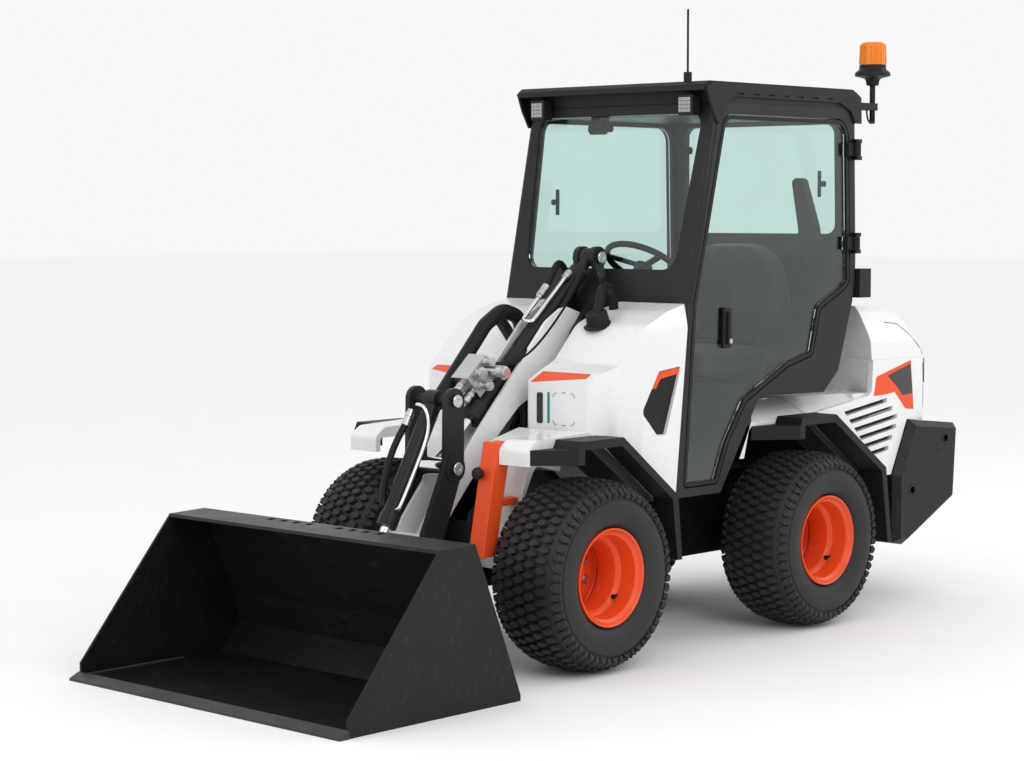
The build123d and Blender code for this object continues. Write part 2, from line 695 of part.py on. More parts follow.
# Front bodywork: cowls beside the boom with fenders over the wheels
SLOT_HALF = 130.0
COWL_OUTER_Y = CAB_HALF_WIDTH
FENDER_INNER_Y = 300.0
FENDER_UNDER = TYRE_DIAMETER + 105
FENDER_FRONT = AXLE_X + 243
FENDER_LIP = 22.0
BOX_FRONT_X = 553.0
FIREWALL_LOW = (113.0, 541.0)
FIREWALL_HIGH = (40.0, 1233.0)
COWL_GAP = 0.4
ARCH_FOOT = (AXLE_X - TYRE_R + 8, AXLE_Z + 225)
COWL_OUTLINE = [
    (FIREWALL_HIGH[0] + COWL_GAP, FIREWALL_HIGH[1]),
    (150, 1208, 80),
    (280, 1160, 120),
    (400, 1034, 90),
    (474, 1003, 20),
    (BOX_FRONT_X, 962, 12),
    (BOX_FRONT_X, FENDER_UNDER),
    ARCH_FOOT,
    (ARCH_FOOT[0] - 20, ARCH_FOOT[1] - 10),
    (FIREWALL_LOW[0] + COWL_GAP, ARCH_FOOT[1] - 10),
]
# Plan of one cowl, as (x, y, radius)
COWL_PLAN = [
    (20, SLOT_HALF),
    (BOX_FRONT_X, SLOT_HALF, 20),
    (BOX_FRONT_X - 48, COWL_OUTER_Y - 55, 45),
    (420, COWL_OUTER_Y - 10, 60),
    (300, COWL_OUTER_Y, 60),
    (20, COWL_OUTER_Y),
]
# Section of one cowl, as (y, z, radius)
COWL_SECTION = [
    (SLOT_HALF - 1, 500),
    (SLOT_HALF - 1, 1260),
    (COWL_OUTER_Y - 30, 1260, 50),
    (COWL_OUTER_Y, 1150, 60),
    (COWL_OUTER_Y, 500),
]
FENDER_OUTLINE = [
    (FENDER_FRONT - 45, FENDER_UNDER + 32, 40),
    (FENDER_FRONT, FENDER_UNDER + 3, 30),
    (FENDER_FRONT, FENDER_UNDER - 53),
    (FENDER_FRONT - FENDER_LIP, FENDER_UNDER - 53),
    (FENDER_FRONT - FENDER_LIP, FENDER_UNDER - 5, 10),
    (AXLE_X - 32, FENDER_UNDER),
    ARCH_FOOT,
    (ARCH_FOOT[0] - 20, ARCH_FOOT[1] + 20),
    (ARCH_FOOT[0], ARCH_FOOT[1] + 85),
    (BOX_FRONT_X, FENDER_UNDER + 41),
]
GRILLE_OUTLINE = [
    (85, 1014, 8),
    (208, 1001, 12),
    (294, 870, 14),
    (294, 852, 14),
    (216, 773, 14),
    (169, 773, 14),
]
GRILLE_DEPTH = 12.0
with BuildPart() as front_cowls:
    plate(COWL_OUTLINE, SLOT_HALF, COWL_OUTER_Y)
    with BuildSketch(front_plane(0)):
        outline(COWL_SECTION)
    extrude(amount=BOX_FRONT_X + 50, mode=Mode.INTERSECT)
    with BuildSketch(plan_plane(500)):
        outline(COWL_PLAN)
    extrude(amount=800, mode=Mode.INTERSECT)
    plate(GRILLE_OUTLINE, COWL_OUTER_Y - GRILLE_DEPTH, COWL_OUTER_Y + 20, Mode.SUBTRACT)
    plate(FENDER_OUTLINE, FENDER_INNER_Y, FENDER_HALF_WIDTH)
    mirror(about=Plane.XZ)
finish(front_cowls, "front_cowls")

# Flares: a raised top over each wheel, a wedge ahead of it and a bent strip down behind it
FLARE_TOP = FENDER_UNDER + 30
FLARE_THICK = 30.0
FLARE_AHEAD = 116.0
FLARE_BEHIND = 114.0
# Columns: name, axle, wedge length ahead, strip's inner half-width, knee and low end behind the tread,
# and their heights above the axle
FLARES = [
    ("front_flares", AXLE_X, 230.0, COWL_OUTER_Y + SEAT, 79.0, 103.0, 241.0, 11.0),
    ("rear_flares", -AXLE_X, 262.0, FENDER_HALF_WIDTH + SEAT, 121.0, 163.0, 236.0, -61.0),
]
FLARE_INNER_Y = FENDER_HALF_WIDTH + SEAT


def flare_line(axle_x, knee_behind, low_behind, knee_above, low_above):
    """The flare's outer line behind the axle: its top, its knee and its low end."""
    return [
        (axle_x - FLARE_BEHIND, FLARE_TOP),
        (axle_x - TYRE_R - knee_behind, AXLE_Z + knee_above),
        (axle_x - TYRE_R - low_behind, AXLE_Z + low_above),
    ]


for name, axle_x, wedge, strip_y, *bends in FLARES:
    top, knee, low_end = flare_line(axle_x, *bends)
    strip = [
        (top[0] + 20, top[1]),
        top,
        knee,
        low_end,
        (low_end[0] + FLARE_THICK - 4, low_end[1]),
        (knee[0] + FLARE_THICK, knee[1] - 12),
        (top[0] + 8, top[1] - FLARE_THICK),
        (top[0] + 20, top[1] - FLARE_THICK),
    ]
    cap = [
        (axle_x + FLARE_AHEAD, FLARE_TOP - FLARE_THICK),
        (axle_x + FLARE_AHEAD - 14, FLARE_TOP),
        (top[0] + 10, FLARE_TOP),
        (top[0] + 10, FLARE_TOP - FLARE_THICK),
    ]
    with BuildPart() as flares:
        plates(strip, strip_y, FLARE_HALF_WIDTH)
        plates(cap, FLARE_INNER_Y, FLARE_HALF_WIDTH)
        for side in (1, -1):
            with BuildSketch(plan_plane(FENDER_UNDER - 50)):
                outline(
                    [
                        (axle_x + wedge, side * FLARE_INNER_Y),
                        (axle_x + FLARE_AHEAD, side * FLARE_HALF_WIDTH),
                        (axle_x + FLARE_AHEAD - 30, side * FLARE_HALF_WIDTH),
                        (axle_x + FLARE_AHEAD - 30, side * FLARE_INNER_Y),
                    ]
                )
            extrude(amount=52)
    finish(flares, name)

# Nose panel between the fenders and the lock post that stands before it
NOSE_FRONT = 752.0
NOSE_OUTLINE = [
    (BOX_FRONT_X + SEAT, 660),
    (BOX_FRONT_X + SEAT, 806),
    (700, 770, 30),
    (NOSE_FRONT, 600, 60),
    (NOSE_FRONT, 330),
    (NOSE_FRONT - 20, 330),
    (NOSE_FRONT - 20, 590, 50),
    (680, 690, 30),
]
with BuildPart() as nose_panel:
    plates(NOSE_OUTLINE, TOWER_OUTER_Y + SEAT, FENDER_INNER_Y - SEAT)
finish(nose_panel, "nose_panel")

POST_Y = (228.0, 298.0)
POST_LOW = (880.0, 943.0)
POST_HIGH = (800.0, 868.0)
POST_Z = (400.0, 785.0)
POST_BRACKETS = (430.0, 565.0)
with BuildPart() as lock_post:
    plate(
        [
            (POST_LOW[0], POST_Z[0]),
            (POST_LOW[1], POST_Z[0]),
            (POST_HIGH[1], POST_Z[1]),
            (POST_HIGH[1] - 22, POST_Z[1]),
            (POST_HIGH[1] - 34, POST_Z[1] - 18),
            (POST_HIGH[0] + 22, POST_Z[1]),
            (POST_HIGH[0], POST_Z[1]),
        ],
        *POST_Y,
    )
    for low in POST_BRACKETS:
        block((NOSE_FRONT + SEAT, POST_LOW[0] + 8), (POST_Y[0] + 12, POST_Y[1] - 12), (low, low + 25))
finish(lock_post, "lock_post")

# Cab: a hollow shell split into the tub, the pillars and the roof cap
SCREEN_TOP = (-112.0, 1955.0)
CAB_FRAME_TOP = SCREEN_TOP[1]
CAB_SPLIT_Z = FIREWALL_HIGH[1]
CAB_REAR_X = -1000.0
CAB_REAR_KINK = (CAB_REAR_X, 1455.0)
CAB_FLOOR_Z = FIREWALL_LOW[1]
SILL_REAR = (-145.0, CAB_FLOOR_Z)
SILL_HIGH = (-377.0, 880.0)
CAB_OUTLINE = [
    FIREWALL_LOW,
    FIREWALL_HIGH,
    SCREEN_TOP,
    (CAB_REAR_X + 15, CAB_FRAME_TOP),
    CAB_REAR_KINK,
    (-966, 1216),
    (-876, 952),
    (-782, 872),
    SILL_HIGH,
    SILL_REAR,
]
CAB_WALL = 38.0
CAB_CORNER_R = 26.0
INNER_Y = CAB_HALF_WIDTH - CAB_WALL
DOOR_OUTLINE = [
    (72, 572, 20),
    (18, CAB_SPLIT_Z),
    (-152, 1915, 60),
    (-930, 1915, 70),
    (-950, 1290, 15),
    (-912, 1258, 15),
    (-758, 1188, 30),
    (-712, 1014, 30),
    (-554, 978, 60),
    (-297, 860, 40),
    (-190, 712, 40),
    (-128, 572, 20),
]
WINDOW_OUTLINE = [(0, 1290, 30), (-152, 1900, 60), (-930, 1900, 60), (-945, 1290, 30)]
SCREEN_WAY = (SCREEN_TOP[0] - FIREWALL_HIGH[0], SCREEN_TOP[1] - FIREWALL_HIGH[1])
SCREEN_PLANE = Plane(
    origin=at(FIREWALL_HIGH[0], 0, FIREWALL_HIGH[1]),
    x_dir=(0, 1, 0),
    z_dir=(SCREEN_WAY[1], 0, -SCREEN_WAY[0]),
)
SCREEN_OUTLINE = [
    (55 - INNER_Y, 122, 60),
    (INNER_Y - 55, 122, 60),
    (INNER_Y - 20, 700, 50),
    (20 - INNER_Y, 700, 50),
]
REAR_PLANE = Plane(origin=at(CAB_REAR_X, 0, 0), x_dir=(0, -1, 0), z_dir=(-1, 0, 0))
REAR_OUTLINE = [
    (47 - INNER_Y, 1475, 40),
    (INNER_Y - 47, 1475, 40),
    (INNER_Y - 47, 1900, 40),
    (47 - INNER_Y, 1900, 40),
]
CUT_DEPTH = 90.0

for name, low, high in (
    ("cab_tub", 500.0, CAB_SPLIT_Z - SEAT),
    ("cab_frame", CAB_SPLIT_Z, CAB_FRAME_TOP),
):
    with BuildPart() as shell:
        plate(CAB_OUTLINE, -CAB_HALF_WIDTH, CAB_HALF_WIDTH)
        for place in (
            ((FIREWALL_HIGH[0] + SCREEN_TOP[0]) / 2, (CAB_SPLIT_Z + CAB_FRAME_TOP) / 2),
            (CAB_REAR_X + 8, (CAB_REAR_KINK[1] + CAB_FRAME_TOP) / 2),
        ):
            for side in (1, -1):
                corner = Vertex(*at(place[0], side * CAB_HALF_WIDTH, place[1]))
                fillet(shell.edges().sort_by_distance(corner)[:1], radius=CAB_CORNER_R)
        with BuildSketch(side_plane(-INNER_Y)):
            outline(CAB_OUTLINE)
            offset(amount=-CAB_WALL, kind=Kind.INTERSECTION, mode=Mode.REPLACE)
        extrude(amount=-2 * INNER_Y, mode=Mode.SUBTRACT)
        plate(DOOR_OUTLINE, INNER_Y - 20, CAB_HALF_WIDTH + 20, Mode.SUBTRACT)
        plate(WINDOW_OUTLINE, -CAB_HALF_WIDTH - 20, 20 - INNER_Y, Mode.SUBTRACT)
        for plane, pane in ((SCREEN_PLANE, SCREEN_OUTLINE), (REAR_PLANE, REAR_OUTLINE)):
            with BuildSketch(plane.offset(30 - CUT_DEPTH)):
                outline(pane)
            extrude(amount=CUT_DEPTH, mode=Mode.SUBTRACT)
        with BuildSketch(plan_plane(low)):
            with Locations((CAB_REAR_X / 2, 0)):
                Rectangle(-1.4 * CAB_REAR_X, 3 * CAB_HALF_WIDTH)
        extrude(amount=high - low, mode=Mode.INTERSECT)
    finish(shell, name)

# Roof: a cap that overhangs the windscreen, with a skirt along each side
ROOF_FRONT_X = -38.0
ROOF_LIP_Z = CAB_ROOF_Z - 34
ROOF_REAR_X = CAB_REAR_X - 6
SKIRT_THICK = 9.0
ROOF_OUTLINE = [
    (ROOF_FRONT_X, ROOF_LIP_Z),
    (ROOF_FRONT_X - 4, CAB_ROOF_Z - 14, 8),
    (ROOF_FRONT_X - 24, CAB_ROOF_Z, 20),
    (-960, CAB_ROOF_Z, 40),
    (ROOF_REAR_X + 8, 2002, 20),
    (ROOF_REAR_X, CAB_FRAME_TOP + SEAT),
    (SCREEN_TOP[0] + 6, CAB_FRAME_TOP + SEAT),
    (SCREEN_TOP[0] + 10, ROOF_LIP_Z),
]
SKIRT_OUTLINE = [
    (ROOF_FRONT_X - 4, CAB_ROOF_Z - 20),
    (ROOF_FRONT_X - 32, 1942, 20),
    (-106, 1882),
    (-134, 1882),
    (-158, 1955, 40),
    (-205, 1978, 20),
    (-860, 1976, 20),
    (-935, 1945, 30),
    (-962, 1900),
    (ROOF_REAR_X + 2, 1900),
    (ROOF_REAR_X + 6, 2000),
    (-960, CAB_ROOF_Z - 8, 30),
    (ROOF_FRONT_X - 40, CAB_ROOF_Z - 8),
]
VENT_COUNT = 7
VENT_FIRST_X = -215.0
VENT_PITCH = -92.0
VENT_LENGTH = 42.0
VENT_Z = (1985.0, 1991.0)
with BuildPart() as cab_roof:
    plate(ROOF_OUTLINE, -CAB_HALF_WIDTH, CAB_HALF_WIDTH)
    plates(SKIRT_OUTLINE, CAB_HALF_WIDTH + SEAT, CAB_HALF_WIDTH + SKIRT_THICK)
    plates(
        [
            (ROOF_FRONT_X - 50, CAB_ROOF_Z - 26),
            (ROOF_FRONT_X - 50, CAB_ROOF_Z - 10),
            (-950, CAB_ROOF_Z - 10),
            (-950, CAB_ROOF_Z - 26),
        ],
        CAB_HALF_WIDTH - 5,
        CAB_HALF_WIDTH + 1,
    )
    for index in range(VENT_COUNT):
        vent_x = VENT_FIRST_X + VENT_PITCH * index
        blocks(
            (vent_x - VENT_LENGTH, vent_x),
            (CAB_HALF_WIDTH + 4, CAB_HALF_WIDTH + SKIRT_THICK + 1),
            VENT_Z,
            Mode.SUBTRACT,
        )
finish(cab_roof, "cab_roof")

GLASS_THICK = 6.0
GLASS_INSET = 16.0


def inset(corners):
    """A pane's outline inside its opening."""
    outline(corners)
    offset(amount=-GLASS_SEAT, kind=Kind.INTERSECTION, mode=Mode.REPLACE)


with BuildPart() as cab_glass:
    for plane, pane in (
        (SCREEN_PLANE.offset(-GLASS_INSET), SCREEN_OUTLINE),
        (REAR_PLANE.offset(-GLASS_INSET), REAR_OUTLINE),
        (side_plane(GLASS_INSET - CAB_HALF_WIDTH).offset(-GLASS_THICK), WINDOW_OUTLINE),
    ):
        with BuildSketch(plane) as opening:
            inset(pane)
        extrude(opening.sketch, amount=GLASS_THICK)
finish(cab_glass, "cab_glass")

# Door: a pane with a slim dark border, hinged at its rear edge
DOOR_GAP = 5.0
DOOR_THICK = 26.0
DOOR_RIM = 15.0
HINGE = (-962.0, CAB_HALF_WIDTH + 18.0)
HINGE_R = 9.0
HINGE_HEIGHTS = (1440.0, 1800.0)
LEAF_HALF = 25.0
LEAF_X = (-927.0, -912.0)
PIN_HALF = 40.0


def door_face(border):
    """The door's outline, set in from its opening."""
    outline(DOOR_OUTLINE)
    offset(amount=-border, kind=Kind.INTERSECTION, mode=Mode.REPLACE)


with BuildPart() as door_frame:
    with BuildSketch(side_plane(CAB_HALF_WIDTH - DOOR_THICK)):
        door_face(DOOR_GAP)
    extrude(amount=-DOOR_THICK)
    with BuildSketch(side_plane(CAB_HALF_WIDTH - DOOR_THICK - 10)):
        door_face(DOOR_GAP + DOOR_RIM)
    extrude(amount=-DOOR_THICK - 30, mode=Mode.SUBTRACT)
    for height in HINGE_HEIGHTS:
        leaf = (height - LEAF_HALF, height + LEAF_HALF)
        block(LEAF_X, (CAB_HALF_WIDTH - DOOR_THICK, CAB_HALF_WIDTH + 14), leaf)
        block((HINGE[0], LEAF_X[1]), (CAB_HALF_WIDTH + SEAT, CAB_HALF_WIDTH + 14), leaf)
        upright(HINGE, HINGE_R + 6, *leaf)
        upright(HINGE, HINGE_R + SEAT, height - PIN_HALF, height + PIN_HALF, Mode.SUBTRACT)
finish(door_frame, "door_frame")

with BuildPart() as door_glass:
    with BuildSketch(side_plane(CAB_HALF_WIDTH - DOOR_THICK / 2 - GLASS_THICK / 2)):
        door_face(DOOR_GAP + DOOR_RIM + SEAT)
    extrude(amount=-GLASS_THICK)
    for height in HINGE_HEIGHTS:
        block(
            (LEAF_X[0] - 40, LEAF_X[1] + SEAT),
            (INNER_Y, CAB_HALF_WIDTH + 20),
            (height - LEAF_HALF - SEAT, height + LEAF_HALF + SEAT),
            Mode.SUBTRACT,
        )
finish(door_glass, "door_glass")

with BuildPart() as door_hinges:
    for height in HINGE_HEIGHTS:
        upright(HINGE, HINGE_R, height - PIN_HALF, height + PIN_HALF)
        for low in (height - PIN_HALF, height + LEAF_HALF + SEAT):
            block(
                (CAB_REAR_X + 8, HINGE[0] + 8),
                (CAB_HALF_WIDTH + SEAT, CAB_HALF_WIDTH + 20),
                (low, low + PIN_HALF - LEAF_HALF - SEAT),
            )
finish(door_hinges, "door_hinges")

# Inside the cab: seat, steering column, console and belt post
SEAT_PAN_Z = SILL_HIGH[1] + CAB_WALL + 2 * SEAT
CUSHION_Z = 1045.0
SEAT_HALF = 228.0
BACKREST_TOP = 1440.0
with BuildPart() as seat:
    plate(
        [
            (-735, CUSHION_Z + SEAT),
            (-822, 1395, 50),
            (-868, BACKREST_TOP, 40),
            (-925, BACKREST_TOP - 15, 30),
            (-880, 1250, 60),
            (-838, CUSHION_Z + SEAT),
        ],
        -SEAT_HALF,
        SEAT_HALF,
    )
    with BuildSketch(front_plane(-1000)):
        outline(
            [
                (-SEAT_HALF, CUSHION_Z),
                (SEAT_HALF, CUSHION_Z),
                (SEAT_HALF, BACKREST_TOP, 130),
                (-SEAT_HALF, BACKREST_TOP, 130),
            ]
        )
    extrude(amount=400, mode=Mode.INTERSECT)
    block((-755, -330), (-SEAT_HALF, SEAT_HALF), (SEAT_PAN_Z, CUSHION_Z))
finish(seat, "seat")

FLOOR_Z = CAB_FLOOR_Z + CAB_WALL + SEAT
COLUMN_LOW = (-45.0, 1040.0)
COLUMN_HIGH = (-255.0, 1358.0)
WHEEL_RING_R = 150.0
WHEEL_RING_BAR_R = 12.0
COLUMN_SPAN = distance(COLUMN_LOW, COLUMN_HIGH)
COLUMN_WAY = Vector(COLUMN_HIGH[0] - COLUMN_LOW[0], 0, COLUMN_HIGH[1] - COLUMN_LOW[1])
SPOKE = 11.0
with BuildPart() as steering_column:
    plate([(-95, FLOOR_Z), (25, FLOOR_Z), (-18, 1050, 20), (-80, 1080, 20)], -70, 70)
    rod_along(COLUMN_LOW, COLUMN_HIGH, 0, 34, 0, COLUMN_SPAN)
    wheel_plane = Plane(origin=at(COLUMN_HIGH[0], 0, COLUMN_HIGH[1]), x_dir=(0, 1, 0), z_dir=COLUMN_WAY)
    with BuildSketch(Plane(origin=wheel_plane.origin, x_dir=(0, 1, 0), z_dir=wheel_plane.y_dir)):
        with Locations((WHEEL_RING_R, 0)):
            Circle(WHEEL_RING_BAR_R)
    revolve(axis=Axis(wheel_plane.origin, wheel_plane.z_dir))
    for turn in (90, 210, 330):
        with BuildSketch(wheel_plane.offset(-SPOKE)):
            with PolarLocations(WHEEL_RING_R / 2, 1, start_angle=turn):
                Rectangle(WHEEL_RING_R, 2 * SPOKE)
        extrude(amount=SPOKE)
finish(steering_column, "steering_column")

CONSOLE_Y = (-INNER_Y + SEAT, -262.0)
LEVER = (-360.0, -330.0)
# Corners of the belt post's face, as (y, z, radius)
BELT_POST = [(255, 1340), (335, 1340), (320, 1500, 60), (256, 1692, 20), (206, 1692, 20), (240, 1500, 60)]
with BuildPart() as console:
    block((-650, -300), CONSOLE_Y, (SEAT_PAN_Z, 1090))
    upright(LEVER, 9, 1085, 1200)
    upright(LEVER, 22, 1195, 1260)
    with BuildSketch(front_plane(-935)):
        outline(BELT_POST)
    extrude(amount=40)
    block((CAB_REAR_X + CAB_WALL + 2, -930), (262, 318), (1449, 1459))
finish(console, "console")

# Lamps, beacon and antenna
LIGHT_Y = CAB_HALF_WIDTH - 95
LIGHT_HALF = 34.0
LIGHT_X = (-96.0, -44.0)
LIGHT_Z = (1908.0, 1984.0)
with BuildPart() as work_lights:
    blocks(LIGHT_X, (LIGHT_Y - LIGHT_HALF, LIGHT_Y + LIGHT_HALF), LIGHT_Z)
    blocks((-84, -60), (LIGHT_Y - 14, LIGHT_Y + 14), (LIGHT_Z[1] - 2, ROOF_LIP_Z - SEAT))
finish(work_lights, "work_lights")

BEACON = (-1138.0, CAB_HALF_WIDTH - 35)
POLE_R = 11.0
LENS_R = 48.0
LENS_Z = (2134.0, 2222.0)
TRUMPET_R = 70.0
with BuildPart() as beacon_post:
    block((BEACON[0] - 14, ROOF_REAR_X - SEAT), (BEACON[1] - 16, BEACON[1] + 16), (1956, 1984))
    upright(BEACON, POLE_R, 1905, 2070)
    with BuildSketch(side_plane(BEACON[1])):
        outline(
            [
                (BEACON[0], 2050),
                (BEACON[0] + 24, 2054, 6),
                (BEACON[0] + 28, 2080, 16),
                (BEACON[0] + TRUMPET_R, 2090, 4),
                (BEACON[0] + TRUMPET_R - 2, 2104, 4),
                (BEACON[0] + LENS_R + 4, 2116, 10),
                (BEACON[0] + LENS_R + 4, LENS_Z[0] - SEAT),
                (BEACON[0], LENS_Z[0] - SEAT),
            ]
        )
    revolve(axis=Axis(at(*BEACON, 0), (0, 0, 1)))
finish(beacon_post, "beacon_post")

with BuildPart() as beacon:
    with BuildSketch(side_plane(BEACON[1])):
        outline(
            [
                (BEACON[0], LENS_Z[0]),
                (BEACON[0] + LENS_R + 4, LENS_Z[0]),
                (BEACON[0] + LENS_R, LENS_Z[1], 16),
                (BEACON[0], LENS_Z[1]),
            ]
        )
    revolve(axis=Axis(at(*BEACON, 0), (0, 0, 1)))
finish(beacon, "beacon")

ANTENNA = (-80.0, CAB_HALF_WIDTH - 110)
with BuildPart() as antenna:
    upright(ANTENNA, 15, CAB_ROOF_Z + SEAT, CAB_ROOF_Z + 34)
    upright(ANTENNA, 4, CAB_ROOF_Z + 30, ANTENNA_TIP_Z)
finish(antenna, "antenna")

LAMP_Y = (CAB_HALF_WIDTH - 42, CAB_HALF_WIDTH + 16)
LAMP_Z = (1228.0, 1340.0)
LAMP_X = (-1068.0, -992.0)
with BuildPart() as rear_lamps:
    blocks(LAMP_X, LAMP_Y, LAMP_Z)
    blocks((LAMP_X[1] - 2, CAB_REAR_X + 22.8), (CAB_HALF_WIDTH - 40, CAB_HALF_WIDTH - 10), (1276, 1292))
finish(rear_lamps, "rear_lamps")

# Rear chassis: tongue on the articulation pin, two rails and a belly
RAIL_INNER_Y = 150.0
RAIL_OUTER_Y = 170.0
RAIL_Z = (AXLE_Z - 68, AXLE_Z + 180)
RAIL_END = aft(247)
with BuildPart() as rear_chassis:
    with BuildSketch(plan_plane(TONGUE[0])):
        Circle(EAR_R - 2)
        with Locations((-80, 0)):
            Rectangle(160, 2 * EAR_R - 4)
    extrude(amount=TONGUE[1] - TONGUE[0])
    upright((0, 0), JOINT_PIN_R + SEAT, LOWER_EAR[0], UPPER_EAR[1], Mode.SUBTRACT)
    block((-176, -154), (-RAIL_OUTER_Y, RAIL_OUTER_Y), RAIL_Z)
    blocks((RAIL_END, -155), (RAIL_INNER_Y, RAIL_OUTER_Y), RAIL_Z)
    block((-1100, -176), (-RAIL_INNER_Y, RAIL_INNER_Y), (RAIL_Z[0], RAIL_Z[0] + 10))
    for low in STEER_LUGS_LOW:
        block((-200, -92), (-228, -168), (low, low + STEER_LUG - SEAT))
    cross_rod((-AXLE_X, AXLE_Z), AXLE_TUBE_R + SEAT, -RAIL_OUTER_Y - 1, RAIL_OUTER_Y + 1, Mode.SUBTRACT)
finish(rear_chassis, "rear_chassis")

# Rear bodywork: deck with fenders, side panels and a rear-hinged hood
DECK_TOP = 850.0
DECK_THICK = 45.0
DECK_EDGE_Z = 780.0
DECK_RISE = 0.135
DECK_RISE_X = -700.0
FENDER_TIP_Z = FENDER_UNDER - 115
BODY_FRONT_R = 1195.0
BODY_WALL = 20.0
BODY_REAR = aft(87)
BODY_CORNER_R = 190.0
SEAM_Z = 979.0
PANEL_INNER_Y = FENDER_HALF_WIDTH + SEAT
PANEL_THICK = REAR_HALF_WIDTH - PANEL_INNER_Y
REAR_ARCH = [(-AXLE_X - TYRE_R - 33, AXLE_Z + 236), (-AXLE_X - 68, FENDER_UNDER + 1)]


def sill_x(z):
    """Where the cab's slanted sill lies at height z."""
    share = (z - SILL_REAR[1]) / (SILL_HIGH[1] - SILL_REAR[1])
    return SILL_REAR[0] + share * (SILL_HIGH[0] - SILL_REAR[0])


def swing_r(z):
    """The reach of the cab's sill at height z through the whole turn, with its gap."""
    return hypot(sill_x(z), CAB_HALF_WIDTH) + SWING_GAP


with BuildPart() as rear_deck:
    plates(
        [
            (-200, DECK_TOP),
            (-1110, DECK_TOP),
            (-1110, REAR_ARCH[0][1] - 26),
            (-1040, REAR_ARCH[0][1] - 26),
            REAR_ARCH[0],
            REAR_ARCH[1],
            (-350, FENDER_UNDER + 1, 30),
            (-318, FENDER_TIP_Z),
            (-200, FENDER_TIP_Z),
        ],
        FENDER_INNER_Y,
        FENDER_HALF_WIDTH,
    )
    block((-1210, -240), (-FENDER_INNER_Y - 2, FENDER_INNER_Y + 2), (DECK_TOP - DECK_THICK, DECK_TOP))
    with BuildSketch(plan_plane(DECK_TOP - DECK_THICK)):
        Circle(BODY_FRONT_R + BODY_WALL)
        Circle(BODY_FRONT_R, mode=Mode.SUBTRACT)
        with Locations((-BODY_FRONT_R, 0)):
            Rectangle(400, 2 * FENDER_HALF_WIDTH, mode=Mode.INTERSECT)
    extrude(amount=SEAM_Z - DECK_TOP + DECK_THICK)
    slope = [
        (FENDER_INNER_Y, DECK_TOP),
        (FENDER_INNER_Y, DECK_TOP + 60),
        (FENDER_HALF_WIDTH + 1, DECK_TOP + 60),
        (FENDER_HALF_WIDTH + 1, DECK_EDGE_Z),
    ]
    for start, rise, length in ((-190, 0, 520), (DECK_RISE_X, DECK_RISE, 420)):
        way = (-1, 0, rise)
        plane = Plane(origin=at(start, 0, 0), x_dir=(0, -1, 0), z_dir=way)
        for side in (1, -1):
            with BuildSketch(plane):
                outline([(side * y, z) for y, z in slope])
            extrude(amount=length, mode=Mode.SUBTRACT)
    with Locations(at(0, 0, (CAB_FLOOR_Z + DECK_TOP) / 2)):
        Cone(swing_r(CAB_FLOOR_Z), swing_r(DECK_TOP), DECK_TOP - CAB_FLOOR_Z, mode=Mode.SUBTRACT)
finish(rear_deck, "rear_deck")

WEIGHT_HALF = 490.0
WEIGHT_BEVEL = 30.0
WEIGHT_OUTLINE = [
    (aft(333), 729, 20),
    (aft(0), 696, 6),
    (aft(22), 387, 30),
    (aft(370), 228, 20),
    (aft(442), 244, 15),
    (aft(441), 512, 20),
]
POCKET_X = (aft(187), aft(487))
TOW_X = aft(42)
TOW_R = 13.0
TOW_BORE = (430.0, 690.0)
TOW_SLOT_Z = (480.0, 530.0)
TOW_DISH = 32.0
with BuildPart() as counterweight:
    plate(WEIGHT_OUTLINE, WEIGHT_BEVEL - WEIGHT_HALF, WEIGHT_HALF - WEIGHT_BEVEL)
    for side in (1, -1):
        with BuildSketch(side_plane(side * (WEIGHT_HALF - WEIGHT_BEVEL))) as cheek:
            outline(WEIGHT_OUTLINE)
        extrude(cheek.sketch, amount=-side * WEIGHT_BEVEL, taper=38)
    block(POCKET_X, (-RAIL_OUTER_Y - SEAT, RAIL_OUTER_Y + SEAT), (200, 760), Mode.SUBTRACT)
    block((aft(-10), aft(87)), (-60, 60), TOW_SLOT_Z, Mode.SUBTRACT)
    block((TOW_X - TOW_DISH, TOW_X + TOW_DISH), (-40, 40), (TOW_BORE[1], 760), Mode.SUBTRACT)
    upright((TOW_X, 0), TOW_R, TOW_BORE[0], TOW_BORE[1] + 10, Mode.SUBTRACT)
finish(counterweight, "counterweight")

TAIL_HALF = 256.0
FLARE_TOP_REAR, FLARE_KNEE_REAR, FLARE_LOW_REAR = flare_line(-AXLE_X, *FLARES[1][4:])
PANEL_OUTLINE = [
    (FLARE_TOP_REAR[0] - 8, FLARE_TOP_REAR[1] + 1),
    (FLARE_KNEE_REAR[0] - 4, FLARE_KNEE_REAR[1] + 3),
    (FLARE_KNEE_REAR[0] - 14, 516),
    (aft(441), 516),
    (aft(333) - 1, 731),
    (BODY_REAR - 10, 708),
    (BODY_REAR - 10, SEAM_Z),
    (-BODY_FRONT_R + 80, SEAM_Z),
    (-BODY_FRONT_R + 90, DECK_EDGE_Z + 62, 30),
]
LOUVRE_PITCH = -34.0
LOUVRE_GAP = 17.0
LOUVRE_FIRST = (-938.0, 770.0)
LOUVRE_LEAN = -34.0
